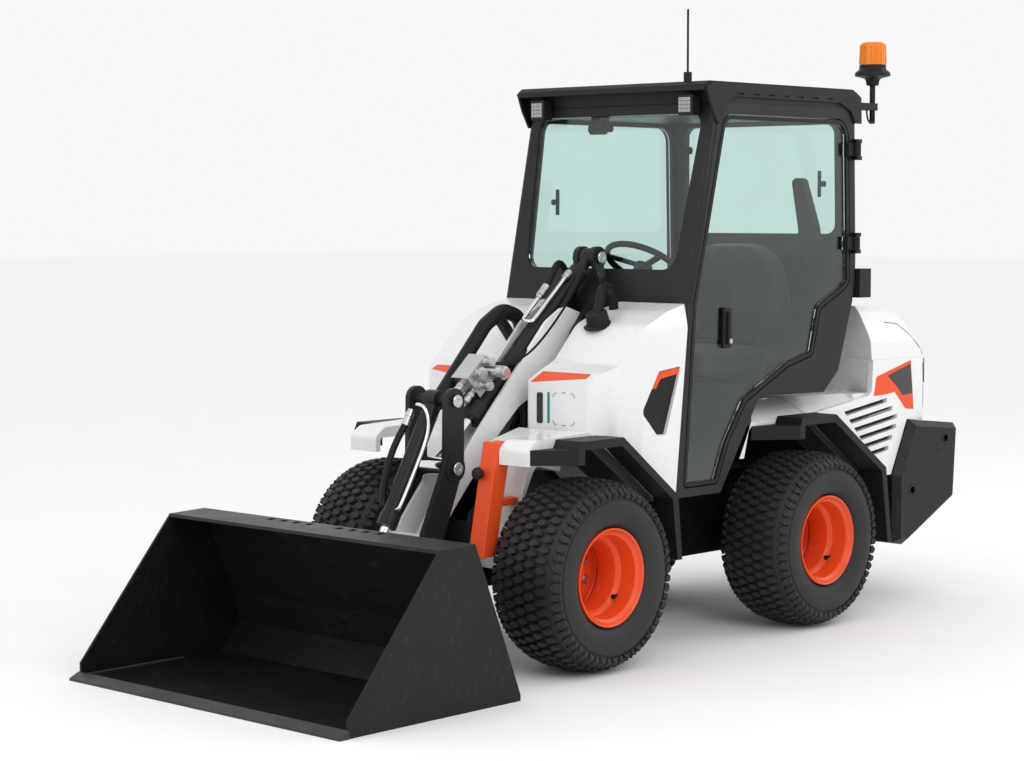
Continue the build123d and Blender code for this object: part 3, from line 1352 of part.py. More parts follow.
# Rear ends of the louvre slots, one for each row from the top
LOUVRE_ENDS = (-1212.0, -1252.0, -1284.0, -1278.0, -1252.0, -1226.0)
with BuildPart() as side_panels:
    with BuildSketch(plan_plane(500)):
        outline(
            [
                (-700, PANEL_INNER_Y),
                (-700, REAR_HALF_WIDTH),
                (BODY_REAR, REAR_HALF_WIDTH, BODY_CORNER_R),
                (BODY_REAR, TAIL_HALF + SWING_GAP),
                (BODY_REAR + PANEL_THICK, TAIL_HALF + SWING_GAP),
                (BODY_REAR + PANEL_THICK, PANEL_INNER_Y, BODY_CORNER_R - PANEL_THICK),
            ]
        )
    extrude(amount=SEAM_Z - 500)
    plate(PANEL_OUTLINE, 0, REAR_HALF_WIDTH + 10, Mode.INTERSECT)
    for row, rear_x in enumerate(LOUVRE_ENDS):
        front_x = LOUVRE_FIRST[0] + LOUVRE_LEAN * row
        low = LOUVRE_FIRST[1] + LOUVRE_PITCH * row
        lift = (front_x - rear_x) * DECK_RISE
        plate(
            [
                (front_x, low),
                (rear_x, low + lift),
                (rear_x, low + lift + LOUVRE_GAP),
                (front_x + LOUVRE_GAP, low + LOUVRE_GAP),
            ],
            PANEL_INNER_Y - 5,
            REAR_HALF_WIDTH + 5,
            Mode.SUBTRACT,
        )
    mirror(about=Plane.XZ)
finish(side_panels, "side_panels")

HOOD_TOP = 1192.0
HOOD_WALL = 18.0
HOOD_OUTLINE = [
    (-1000, SEAM_Z + SEAT),
    (-1000, HOOD_TOP),
    (aft(437), HOOD_TOP - 6, 150),
    (aft(277), 1145, 120),
    (aft(157), 1060, 120),
    (BODY_REAR, SEAM_Z + SEAT),
]
# The hood's rear corner seen along CORNER_WAY, as (reach, z, radius) with the reach from the joint
CORNER_WAY = (0.683, 0.731)
CORNER_REACH = CORNER_WAY[0] * -BODY_REAR + CORNER_WAY[1] * REAR_HALF_WIDTH
HOOD_CORNER = [
    (0, SEAM_Z - 20),
    (CORNER_REACH - 79, SEAM_Z - 20),
    (CORNER_REACH - 82, SEAM_Z + 5, 40),
    (CORNER_REACH - 130, 1053, 100),
    (CORNER_REACH - 186, 1130, 100),
    (CORNER_REACH - 232, 1168, 60),
    (CORNER_REACH - 330, HOOD_TOP, 60),
    (CORNER_REACH - 480, HOOD_TOP + 10),
    (0, HOOD_TOP + 10),
]
# Section across the hood, as (y, z, radius)
HOOD_SECTION = [
    (-REAR_HALF_WIDTH, SEAM_Z - 10),
    (REAR_HALF_WIDTH, SEAM_Z - 10),
    (REAR_HALF_WIDTH - 12, 1060, 90),
    (REAR_HALF_WIDTH - 115, HOOD_TOP + 10, 110),
    (115 - REAR_HALF_WIDTH, HOOD_TOP + 10, 110),
    (12 - REAR_HALF_WIDTH, 1060, 90),
]
with BuildPart() as hood:
    plate(HOOD_OUTLINE, -REAR_HALF_WIDTH - 5, REAR_HALF_WIDTH + 5)
    with BuildSketch(front_plane(BODY_REAR - 20)):
        outline(HOOD_SECTION)
    extrude(amount=800, mode=Mode.INTERSECT)
    with BuildSketch(plan_plane(SEAM_Z)):
        outline(
            [
                (-900, -REAR_HALF_WIDTH),
                (BODY_REAR, -REAR_HALF_WIDTH, BODY_CORNER_R),
                (BODY_REAR, REAR_HALF_WIDTH, BODY_CORNER_R),
                (-900, REAR_HALF_WIDTH),
            ]
        )
    extrude(amount=400, mode=Mode.INTERSECT)
    for side in (1, -1):
        reach_way = (-CORNER_WAY[0], side * CORNER_WAY[1], 0)
        look_way = (side * CORNER_WAY[1], CORNER_WAY[0], 0)
        with BuildSketch(Plane(origin=at(0, 0, 0), x_dir=reach_way, z_dir=look_way)):
            outline(HOOD_CORNER)
        extrude(amount=2 * LENGTH_BEHIND, both=True, mode=Mode.INTERSECT)
    upright((0, 0), BODY_FRONT_R, SEAM_Z - 50, HOOD_TOP + 50, Mode.SUBTRACT)
    offset(amount=-HOOD_WALL, openings=hood.faces().sort_by(Axis.Z)[:1])
finish(hood, "hood")

# Tail panel: the slotted outlet under the hood's rear edge, with the hood's hinge barrels
HOOD_HINGE = (BODY_REAR + 8, 752.0)
HINGE_BARREL_R = 12.0
TAIL_X = (BODY_REAR + 2, BODY_REAR + 22)
TAIL_Z = (744.0, SEAM_Z)
TAIL_ROWS = 7
TAIL_PITCH = 28.0
TAIL_SLOT = 13.0
with BuildPart() as tail_panel:
    block(TAIL_X, (-TAIL_HALF, TAIL_HALF), TAIL_Z)
    for row in range(TAIL_ROWS):
        low = TAIL_Z[0] + TAIL_PITCH * (row + 1)
        blocks((TAIL_X[0] - 5, TAIL_X[1] + 5), (12, TAIL_HALF - 24), (low, low + TAIL_SLOT), Mode.SUBTRACT)
    cross_rods(HOOD_HINGE, HINGE_BARREL_R, 200, 240)
finish(tail_panel, "tail_panel")

ENGINE_X = (aft(197), aft(442))
with BuildPart() as engine:
    block(ENGINE_X, (SEAT - RAIL_INNER_Y, RAIL_INNER_Y - SEAT), (AXLE_Z, 900))
finish(engine, "engine")
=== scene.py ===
"""Compact articulated loader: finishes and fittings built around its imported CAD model."""

import json
import math
from functools import partial

import bmesh
import bpy
from mathutils import Matrix, Vector
from mathutils.bvhtree import BVHTree


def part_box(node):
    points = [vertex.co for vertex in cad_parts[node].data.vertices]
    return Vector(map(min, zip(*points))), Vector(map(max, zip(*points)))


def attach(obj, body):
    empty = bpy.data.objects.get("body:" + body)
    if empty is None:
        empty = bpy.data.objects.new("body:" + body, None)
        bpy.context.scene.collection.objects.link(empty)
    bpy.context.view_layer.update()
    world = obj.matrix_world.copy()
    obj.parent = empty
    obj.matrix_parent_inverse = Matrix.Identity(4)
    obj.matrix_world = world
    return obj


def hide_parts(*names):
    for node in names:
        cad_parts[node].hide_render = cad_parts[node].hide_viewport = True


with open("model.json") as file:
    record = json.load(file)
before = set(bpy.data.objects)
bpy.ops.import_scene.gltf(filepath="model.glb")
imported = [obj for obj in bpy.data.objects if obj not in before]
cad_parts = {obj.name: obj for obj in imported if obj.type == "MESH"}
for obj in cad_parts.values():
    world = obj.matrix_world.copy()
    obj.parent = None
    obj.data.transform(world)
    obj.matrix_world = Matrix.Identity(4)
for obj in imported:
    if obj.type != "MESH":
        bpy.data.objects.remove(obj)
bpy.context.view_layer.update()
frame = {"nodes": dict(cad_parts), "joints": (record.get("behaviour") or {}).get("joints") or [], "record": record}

bl_info = {
    "name": "Articulated Loader",
    "version": (1, 0, 0),
    "blender": (4, 5, 0),
    "location": "View3D > Sidebar > Loader",
    "description": "Builds the finishes and fittings of a compact articulated loader",
    "category": "Object",
}

NODES = frame["nodes"]
JOINTS = {joint["name"]: joint for joint in frame["joints"]}
JOINT_X = JOINTS["articulation"]["pos_m"][0]
WHEELS = ("front_left", "front_right", "rear_left", "rear_right")
# The machine's sides by the sign of y, without and with their names
SIDES = (1, -1)
HANDS = ((1, "left"), (-1, "right"))
MM = 0.001
SMOOTH_ANGLE = math.radians(32)
# Mirror strength of the dark finishes, which a pale studio would wash out
DARK_GLOSS = 0.22
# Patterns of every finish, in cycles per metre, and the depth of its grain
SHADE_PATTERN = 2.6
GLOSS_PATTERN = 14.0
SCUFF_PATTERN = 60.0
GRAIN_DEPTH = 0.0006


def at(x, y, z):
    """A place in the frame from millimetres, with x measured from the articulation joint."""
    return Vector((JOINT_X + x * MM, y * MM, z * MM))


# Settings that a user would change


class LoaderColours(bpy.types.PropertyGroup):
    """Colours of the paints, plastics and lenses."""

    white: bpy.props.FloatVectorProperty(
        name="Body paint",
        description="Gloss paint of the boom, cowls, deck and hood",
        subtype="COLOR",
        default=(0.79, 0.80, 0.80),
        min=0,
        max=1,
    )
    orange: bpy.props.FloatVectorProperty(
        name="Accent paint",
        description="Gloss paint of the rims, the lock post and the trim plates",
        subtype="COLOR",
        default=(0.80, 0.082, 0.016),
        min=0,
        max=1,
    )
    black: bpy.props.FloatVectorProperty(
        name="Black paint",
        description="Satin paint of the bucket, chassis and counterweight",
        subtype="COLOR",
        default=(0.0085, 0.0084, 0.0083),
        min=0,
        max=1,
    )
    charcoal: bpy.props.FloatVectorProperty(
        name="Charcoal paint",
        description="Satin paint of the cab and the lifting links",
        subtype="COLOR",
        default=(0.015, 0.0158, 0.0165),
        min=0,
        max=1,
    )
    glass: bpy.props.FloatVectorProperty(
        name="Glass tint",
        description="Tint of the cab's panes",
        subtype="COLOR",
        default=(0.74, 0.87, 0.85),
        min=0,
        max=1,
    )
    amber: bpy.props.FloatVectorProperty(
        name="Beacon lens",
        description="Colour of the beacon's lens",
        subtype="COLOR",
        default=(0.92, 0.27, 0.006),
        min=0,
        max=1,
    )


class LoaderTread(bpy.types.PropertyGroup):
    """Sizes of the turf tyres' blocks."""

    columns: bpy.props.IntProperty(
        name="Columns", description="Blocks across the tread", default=7, min=3, max=15
    )
    rows: bpy.props.IntProperty(
        name="Rows", description="Blocks round the tread in each column", default=56, min=12, max=90
    )
    around: bpy.props.FloatProperty(
        name="Around",
        description="Half-length of a block round the tyre",
        default=0.0148,
        unit="LENGTH",
        min=0.004,
        max=0.05,
    )
    across: bpy.props.FloatProperty(
        name="Across",
        description="Half-width of a block across the tyre",
        default=0.0232,
        unit="LENGTH",
        min=0.004,
        max=0.05,
    )
    depth: bpy.props.FloatProperty(
        name="Depth",
        description="Height of a block above its foot",
        default=0.016,
        unit="LENGTH",
        min=0.002,
        max=0.03,
    )


class LoaderStage(bpy.types.PropertyGroup):
    """The camera and the studio round the loader."""

    azimuth: bpy.props.FloatProperty(
        name="Azimuth",
        description="Camera's direction from the machine, turned from its front to its left",
        default=math.radians(43.09),
        subtype="ANGLE",
    )
    elevation: bpy.props.FloatProperty(
        name="Elevation",
        description="How far the camera looks down",
        default=math.radians(4.14),
        subtype="ANGLE",
    )
    lens: bpy.props.FloatProperty(
        name="Lens",
        description="Focal length of the camera",
        default=82.44,
        unit="CAMERA",
        min=10,
    )
    place: bpy.props.FloatVectorProperty(
        name="Place",
        description="Where the camera stands",
        default=(6.4527, 5.7033, 1.5647),
        subtype="TRANSLATION",
        unit="LENGTH",
    )
    floor: bpy.props.FloatVectorProperty(
        name="Floor",
        description="Colour of the studio floor",
        subtype="COLOR",
        default=(0.95, 0.95, 0.95),
        min=0,
        max=1,
    )


# Materials


def add_node(tree, kind, settings=None, inputs=None):
    """Adds a node with its settings; an input takes a value or another node's output."""
    node = tree.nodes.new(kind)
    for key, value in (settings or {}).items():
        setattr(node, key, value)
    for key, value in (inputs or {}).items():
        socket = node.inputs[key]
        if isinstance(value, bpy.types.NodeSocket):
            tree.links.new(value, socket)
        else:
            socket.default_value = value
    return node


def noise(tree, scale, detail=3.0, stretch=(1, 1, 1), roughness=0.5):
    """A noise pattern on the object's own coordinates, in cycles per metre."""
    coordinates = add_node(tree, "ShaderNodeTexCoord")
    mapping = add_node(
        tree,
        "ShaderNodeMapping",
        inputs={"Vector": coordinates.outputs["Object"], "Scale": stretch},
    )
    pattern = add_node(
        tree,
        "ShaderNodeTexNoise",
        inputs={
            "Vector": mapping.outputs["Vector"],
            "Scale": scale,
            "Detail": detail,
            "Roughness": roughness,
        },
    )
    return pattern.outputs["Fac"]


def spread(tree, value, low, high, start=0.3, end=0.7):
    """The value's middle range stretched from low to high."""
    node = add_node(
        tree,
        "ShaderNodeMapRange",
        inputs={"Value": value, "From Min": start, "From Max": end, "To Min": low, "To Max": high},
    )
    return node.outputs["Result"]


def mix_colour(tree, share, first, second):
    """Two colours mixed by a share; a colour may be an output."""
    node = add_node(
        tree,
        "ShaderNodeMix",
        {"data_type": "RGBA"},
        {"Factor": share},
    )
    for socket, colour in zip((node.inputs[6], node.inputs[7]), (first, second)):
        if isinstance(colour, bpy.types.NodeSocket):
            tree.links.new(colour, socket)
        else:
            socket.default_value = (*colour, 1)
    return node.outputs[2]


def surface(name, colour, roughness, shade=0.1, grain=300.0, bump=0.1, scuff=0.0, **sockets):
    """A finish with uneven colour and gloss, a fine grain and, if asked, worn scuffs."""
    material = bpy.data.materials.new(name)
    material.use_nodes = True
    tree = material.node_tree
    shader = tree.nodes["Principled BSDF"]
    darker = tuple(channel * (1 - shade) for channel in colour)
    lighter = tuple(min(1.0, channel * (1 + shade)) for channel in colour)
    paint = mix_colour(tree, spread(tree, noise(tree, SHADE_PATTERN), 0, 1), darker, lighter)
    sheen = noise(tree, GLOSS_PATTERN, 5.0)
    gloss = spread(tree, sheen, roughness * 0.92, min(1.0, roughness * 1.1))
    if scuff:
        streaks = noise(tree, SCUFF_PATTERN, 6.0, (1.0, 0.16, 0.4), 0.62)
        marks = spread(tree, streaks, 0, scuff, 0.56, 0.74)
        worn = tuple(0.5 * channel + 0.09 for channel in colour)
        paint = mix_colour(tree, marks, paint, worn)
    tree.links.new(paint, shader.inputs["Base Color"])
    tree.links.new(gloss, shader.inputs["Roughness"])
    relief = add_node(
        tree,
        "ShaderNodeBump",
        inputs={"Strength": bump, "Distance": GRAIN_DEPTH, "Height": noise(tree, grain, 2.0)},
    )
    tree.links.new(relief.outputs["Normal"], shader.inputs["Normal"])
    for key, value in sockets.items():
        shader.inputs[key.replace("_", " ")].default_value = value
    return material


def make_finishes():
    """Every finish of the loader, by its record slot or its own name.

    The numbers after a colour are roughness, shade, grain, bump and, where there is wear, scuff.
    """
    colours = bpy.context.scene.loader_colours
    white, orange = tuple(colours.white), tuple(colours.orange)
    black, charcoal = tuple(colours.black), tuple(colours.charcoal)
    glass, amber = tuple(colours.glass), tuple(colours.amber)
    return {
        "white_paint": surface(
            "Gloss white paint", white, 0.28, 0.015, 500, 0.02, Coat_Weight=0.3, Coat_Roughness=0.08
        ),
        "orange_paint": surface(
            "Gloss orange paint", orange, 0.34, 0.06, 500, 0.03, Specular_IOR_Level=0.25, Coat_Weight=0.05
        ),
        "rim_orange": surface(
            "Orange rim enamel", orange, 0.33, 0.08, 420, 0.05, Specular_IOR_Level=0.35, Coat_Weight=0.12
        ),
        "black_paint": surface(
            "Satin black paint", black, 0.4, 0.25, 380, 0.12, 0.16, Specular_IOR_Level=DARK_GLOSS
        ),
        "charcoal_paint": surface(
            "Satin charcoal paint", charcoal, 0.36, 0.18, 380, 0.1, 0.05, Specular_IOR_Level=DARK_GLOSS
        ),
        "black_plastic": surface(
            "Grained black plastic",
            (0.012, 0.0122, 0.0125),
            0.5,
            0.16,
            900,
            0.25,
            Specular_IOR_Level=DARK_GLOSS,
        ),
        "chrome_rod": surface(
            "Hard chrome", (0.78, 0.79, 0.8), 0.1, 0.03, 700, 0.02, Metallic=1.0
        ),
        "steel": surface("Zinc plated steel", (0.52, 0.53, 0.54), 0.28, 0.12, 420, 0.08, Metallic=1.0),
        "edge_steel": surface(
            "Dark wear steel", (0.05, 0.049, 0.047), 0.4, 0.3, 240, 0.2, 0.5, Metallic=0.6
        ),
        "tyre": surface(
            "Turf tyre rubber", (0.021, 0.021, 0.0207), 0.6, 0.22, 260, 0.25, Specular_IOR_Level=0.35
        ),
        "rubber": surface(
            "Hose rubber", (0.008, 0.008, 0.008), 0.48, 0.2, 600, 0.3, Specular_IOR_Level=DARK_GLOSS
        ),
        "seat_cover": surface("Seat vinyl", (0.03, 0.031, 0.033), 0.55, 0.2, 500, 0.12, Sheen_Weight=0.15),
        "glass": surface(
            "Tinted cab glass",
            glass,
            0.02,
            0.01,
            40,
            0.01,
            Transmission_Weight=1.0,
            IOR=1.45,
        ),
        "amber": surface(
            "Amber lens",
            amber,
            0.12,
            0.06,
            120,
            0.1,
            Transmission_Weight=0.35,
            IOR=1.49,
            Emission_Strength=0.06,
            Emission_Color=(*amber, 1),
        ),
        "lamp": surface(
            "Clear lamp lens", (0.5, 0.52, 0.54), 0.12, 0.05, 150, 0.2, Transmission_Weight=0.4, IOR=1.5
        ),
        "red_lens": surface("Dark red lens", (0.12, 0.006, 0.008), 0.14, 0.1, 150, 0.1, Coat_Weight=0.5),
        "gauge_scale": surface("Level scale film", (0.03, 0.22, 0.24), 0.3, 0.1, 500, 0.02),
        # Dark film of the panel inset, sight gauge and cover marks; on the arch sheets and cheeks the same film is
        # painted shade
        "dark_trim_and_shade": surface("Dark trim and shade film", (0.03, 0.03, 0.031), 0.3, 0.1, 500, 0.03),
        "void": surface("Grille black", (0.004, 0.004, 0.004), 0.7, 0.2, 300, 0.2),
    }


FINISHES = {}

# Meshes


def plain_mesh(source):
    """The evaluated shape of an object as a plain mesh; the object goes."""
    graph = bpy.context.evaluated_depsgraph_get()
    mesh = bpy.data.meshes.new_from_object(source.evaluated_get(graph), depsgraph=graph)
    data = source.data
    bpy.data.objects.remove(source)
    if isinstance(data, bpy.types.Curve):
        bpy.data.curves.remove(data)
    return mesh


def hold(name, data):
    """A new object of the data in the scene."""
    holder = bpy.data.objects.new(name, data)
    bpy.context.scene.collection.objects.link(holder)
    return holder


def place(mesh, name, body, slot, finish=None, replaced=()):
    """Puts a mesh in the scene as one piece that rides on a body."""
    mesh.materials.clear()
    mesh.materials.append(FINISHES[finish or slot])
    mesh.polygons.foreach_set("use_smooth", [True] * len(mesh.polygons))
    mesh.set_sharp_from_angle(angle=SMOOTH_ANGLE)
    piece = hold(name, mesh)
    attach(piece, body)
    if replaced:
        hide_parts(*replaced)
    return piece


def shape_to_mesh(shape, name):
    """A bmesh as a mesh with its doubles merged and its faces turned outwards."""
    bmesh.ops.remove_doubles(shape, verts=shape.verts, dist=0.00001)
    bmesh.ops.recalc_face_normals(shape, faces=shape.faces)
    mesh = bpy.data.meshes.new(name)
    shape.to_mesh(mesh)
    shape.free()
    return mesh


def settle(shape, name, body, slot, finish=None, replaced=()):
    """Puts a bmesh in the scene as one piece that rides on a body."""
    return place(shape_to_mesh(shape, name), name, body, slot, finish, replaced)


def add_prism(shape, low, high, rounding=0.0):
    """Adds a prism between two like rings of places."""
    near = [shape.verts.new(spot) for spot in low]
    far = [shape.verts.new(spot) for spot in high]
    faces = [shape.faces.new(near), shape.faces.new(far[::-1])]
    for index in range(len(near)):
        other = (index + 1) % len(near)
        faces.append(shape.faces.new((near[other], near[index], far[index], far[other])))
    if rounding:
        edges = {edge for face in faces for edge in face.edges}
        bmesh.ops.bevel(shape, geom=list(edges), offset=rounding, segments=2, affect="EDGES", profile=0.6)


def side_plate(shape, corners, y_low, y_high, rounding=0.0):
    """Adds a plate of a side outline (x, z) in millimetres between two places across the machine."""
    add_prism(
        shape,
        [at(x, y_low, z) for x, z in corners],
        [at(x, y_high, z) for x, z in corners],
        rounding,
    )


def add_lathe(shape, profile, centre, axis, steps=48):
    """Adds a turned form: profile as (along, radius) about an axis, both in metres."""
    axis = Vector(axis).normalized()
    across = axis.orthogonal().normalized()
    other = axis.cross(across)
    foot = Vector(centre)
    rings = []
    for index in range(steps):
        turn = 2 * math.pi * index / steps
        out = across * math.cos(turn) + other * math.sin(turn)
        rings.append([shape.verts.new(foot + axis * along + out * radius) for along, radius in profile])
    for index in range(steps):
        ring, following = rings[index], rings[(index + 1) % steps]
        for step in range(len(profile)):
            after = (step + 1) % len(profile)
            shape.faces.new((ring[step], following[step], following[after], ring[after]))


def tube_mesh(name, places, radius):
    """A round hose or pipe on one smooth line near the places."""
    curve = bpy.data.curves.new(name, "CURVE")
    curve.dimensions = "3D"
    curve.bevel_depth = radius
    curve.bevel_resolution = 4
    curve.use_fill_caps = True
    spline = curve.splines.new("NURBS")
    spline.points.add(len(places) - 1)
    for point, where in zip(spline.points, places):
        point.co = (*where, 1)
    spline.order_u = 3
    spline.use_endpoint_u = True
    spline.resolution_u = 8
    return plain_mesh(hold(name, curve))


# Node trees


def new_tree(name, inputs):
    """An empty geometry tree with its inputs and one geometry output."""
    tree = bpy.data.node_groups.new(name, "GeometryNodeTree")
    for label, kind in inputs:
        tree.interface.new_socket(label, in_out="INPUT", socket_type="NodeSocket" + kind)
    tree.interface.new_socket("Geometry", in_out="OUTPUT", socket_type="NodeSocketGeometry")
    return tree, tree.nodes.new("NodeGroupInput").outputs, tree.nodes.new("NodeGroupOutput")


def math_node(tree, operation, first, second=0.0):
    """The result of an operation on one or two values or outputs."""
    return add_node(tree, "ShaderNodeMath", {"operation": operation}, {0: first, 1: second}).outputs[0]


def end_tree(tree, points, instance, rotation, material, end, scale=(1, 1, 1)):
    """Closes a tree: instances on points, made real and painted."""
    copies = add_node(
        tree,
        "GeometryNodeInstanceOnPoints",
        inputs={"Points": points, "Instance": instance, "Rotation": rotation, "Scale": scale},
    )
    real = add_node(
        tree, "GeometryNodeRealizeInstances", inputs={"Geometry": copies.outputs["Instances"]}
    )
    painted = add_node(
        tree,
        "GeometryNodeSetMaterial",
        inputs={"Geometry": real.outputs["Geometry"], "Material": material},
    )
    tree.links.new(painted.outputs["Geometry"], end.inputs["Geometry"])


def grown(tree, values, name, points=()):
    """The plain mesh that a tree makes with the given inputs, from points where it needs them."""
    base = bpy.data.meshes.new(name)
    base.from_pydata(points, [], [])
    holder = hold(name, base)
    modifier = holder.modifiers.new("Grow", "NODES")
    modifier.node_group = tree
    for item in tree.interface.items_tree:
        if item.in_out == "INPUT" and item.name in values:
            modifier[item.identifier] = values[item.name]
    return plain_mesh(holder)


def tread_tree():
    """Staggered blocks round a wheel on the Y axis, tipped outwards at the shoulders."""
    tree, given, end = new_tree(
        "Turf tread",
        [
            ("Columns", "Int"),
            ("Rows", "Int"),
            ("Width", "Float"),
            ("Radius", "Float"),
            ("Shoulder drop", "Float"),
            ("Tip", "Float"),
            ("Around", "Float"),
            ("Across", "Float"),
            ("Depth", "Float"),
            ("Material", "Material"),
        ],
    )
    grid = add_node(
        tree,
        "GeometryNodeMeshGrid",
        inputs={"Vertices X": given["Columns"], "Vertices Y": given["Rows"]},
    )
    calc = partial(math_node, tree)
    index = add_node(tree, "GeometryNodeInputIndex").outputs["Index"]
    column = calc("FLOOR", calc("DIVIDE", index, given["Rows"]))
    row = calc("MODULO", index, given["Rows"])
    stagger = calc("MULTIPLY", calc("MODULO", column, 2.0), 0.5)
    turn = calc("MULTIPLY", calc("DIVIDE", calc("ADD", row, stagger), given["Rows"]), 2 * math.pi)
    last = calc("SUBTRACT", given["Columns"], 1.0)
    share = calc("SUBTRACT", calc("MULTIPLY", calc("DIVIDE", column, last), 2.0), 1.0)
    # Grows from the middle of the tread to its shoulders
    edge = calc("POWER", calc("ABSOLUTE", share), 3.2)
    radius = calc("SUBTRACT", given["Radius"], calc("MULTIPLY", edge, given["Shoulder drop"]))
    across = calc("MULTIPLY", share, calc("MULTIPLY", given["Width"], 0.5))
    position = add_node(
        tree,
        "ShaderNodeCombineXYZ",
        inputs={
            "X": calc("MULTIPLY", radius, calc("SINE", turn)),
            "Y": across,
            "Z": calc("MULTIPLY", radius, calc("COSINE", turn)),
        },
    )
    points = add_node(
        tree,
        "GeometryNodeSetPosition",
        inputs={"Geometry": grid.outputs["Mesh"], "Position": position.outputs["Vector"]},
    )
    tip = calc("MULTIPLY", calc("MULTIPLY", edge, calc("SIGN", share)), given["Tip"])
    rotation = add_node(tree, "ShaderNodeCombineXYZ", inputs={"X": tip, "Y": turn})
    block = add_node(
        tree,
        "GeometryNodeMeshCone",
        inputs={
            "Vertices": 6,
            "Radius Bottom": 1.0,
            "Radius Top": 0.84,
            "Depth": given["Depth"],
        },
    )
    girth = add_node(
        tree, "ShaderNodeCombineXYZ", inputs={"X": given["Around"], "Y": given["Across"], "Z": 1.0}
    )
    end_tree(
        tree,
        points.outputs["Geometry"],
        block.outputs["Mesh"],
        rotation.outputs["Vector"],
        given["Material"],
        end,
        girth.outputs["Vector"],
    )
    return tree


def bolt_tree():
    """Hexagon heads on washers, all turned one way, on the points given."""
    tree, given, end = new_tree(
        "Bolts",
        [
            ("Points", "Geometry"),
            ("Turn", "Vector"),
            ("Head", "Float"),
            ("Height", "Float"),
            ("Material", "Material"),
        ],
    )
    head = add_node(
        tree,
        "GeometryNodeMeshCone",
        inputs={
            "Vertices": 6,
            "Radius Bottom": given["Head"],
            "Radius Top": math_node(tree, "MULTIPLY", given["Head"], 0.9),
            "Depth": given["Height"],
        },
    )
    washer = add_node(
        tree,
        "GeometryNodeMeshCone",
        inputs={
            "Vertices": 20,
            "Radius Bottom": math_node(tree, "MULTIPLY", given["Head"], 1.5),
            "Radius Top": math_node(tree, "MULTIPLY", given["Head"], 1.4),
            "Depth": math_node(tree, "MULTIPLY", given["Height"], 0.3),
        },
    )
    both = add_node(tree, "GeometryNodeJoinGeometry")
    for part in (head, washer):
        tree.links.new(part.outputs["Mesh"], both.inputs["Geometry"])
    end_tree(tree, given["Points"], both.outputs["Geometry"], given["Turn"], given["Material"], end)
    return tree


def cell_tree():
    """Small six-sided cells, turned one way, on the points given."""
    tree, given, end = new_tree(
        "Grille cells",
        [
            ("Points", "Geometry"),
            ("Turn", "Vector"),
            ("Cell", "Float"),
            ("Depth", "Float"),
            ("Material", "Material"),
        ],
    )
    cell = add_node(
        tree,
        "GeometryNodeMeshCone",
        inputs={
            "Vertices": 6,
            "Radius Bottom": given["Cell"],
            "Radius Top": math_node(tree, "MULTIPLY", given["Cell"], 0.7),
            "Depth": given["Depth"],
        },
    )
    end_tree(tree, given["Points"], cell.outputs["Mesh"], given["Turn"], given["Material"], end)
    return tree


def ripple_tree():
    """Small rounded weld ripples on the points given."""
    tree, given, end = new_tree(
        "Weld ripples", [("Points", "Geometry"), ("Size", "Vector"), ("Material", "Material")]
    )
    ball = add_node(tree, "GeometryNodeMeshUVSphere", inputs={"Segments": 8, "Rings": 5, "Radius": 1.0})
    end_tree(
        tree, given["Points"], ball.outputs["Mesh"], (0, 0, 0), given["Material"], end, given["Size"]
    )
    return tree


# Turns that point an instance's top to one side of the machine
FACING = {1: (-math.pi / 2, 0, 0), -1: (math.pi / 2, 0, 0)}


class LoaderOperator:
    """What all of the loader's operators share."""

    bl_options = {"REGISTER", "UNDO"}


class LOADER_OT_finishes(LoaderOperator, bpy.types.Operator):
    """Give every CAD piece its paint, plastic, rubber or glass"""

    bl_idname = "loader.finishes"
    bl_label = "Finishes"

    # Nodes whose finish differs from their record slot's
    OWN = {
        "work_lights": "black_plastic",
        "rear_lamps": "black_plastic",
        "cutting_edge": "edge_steel",
        "boom_hoses": "rubber",
    }

    def execute(self, context):
        FINISHES.update(make_finishes())
        for part in frame["record"]["subparts"]:
            node = NODES[part["node"]]
            finish = FINISHES[self.OWN.get(part["node"], part["material_slot"])]
            for slot in node.material_slots:
                slot.material = finish
        return {"FINISHED"}


class LOADER_OT_edges(LoaderOperator, bpy.types.Operator):
    """Round the sharp edges of the formed and welded pieces"""

    bl_idname = "loader.edges"
    bl_label = "Edges"

    # Columns: piece and the radius of its edges in millimetres
    ROUNDED = (
        ("front_cowls", 7),
        ("hood", 9),
        ("rear_deck", 6),
        ("side_panels", 4),
        ("counterweight", 8),
        ("nose_panel", 5),
        ("front_flares", 5),
        ("rear_flares", 5),
        ("cab_tub", 5),
        ("cab_frame", 4),
        ("cab_roof", 3),
        ("door_frame", 2.5),
        ("boom", 2),
        ("carrier", 2),
        ("lock_post", 4),
        ("coupler", 2),
        ("bucket", 2),
        ("front_chassis", 2),
        ("work_lights", 6),
        ("rear_lamps", 12),
        ("steering_column", 3),
        ("console", 6),
    )
    WELD_REACH = 0.00002
    FLAT_ANGLE = math.radians(0.6)
    SHARP_ANGLE = math.radians(34)

    def execute(self, context):
        for name, radius in self.ROUNDED:
            node = NODES[name]
            weld = node.modifiers.new("Weld", "WELD")
            weld.merge_threshold = self.WELD_REACH
            flat = node.modifiers.new("Flat faces", "DECIMATE")
            flat.decimate_type = "DISSOLVE"
            flat.angle_limit = self.FLAT_ANGLE
            bevel = node.modifiers.new("Rounded edges", "BEVEL")
            bevel.width = radius * MM
            bevel.segments = 3
            bevel.limit_method = "ANGLE"
            bevel.angle_limit = self.SHARP_ANGLE
            bevel.harden_normals = True
        return {"FINISHED"}


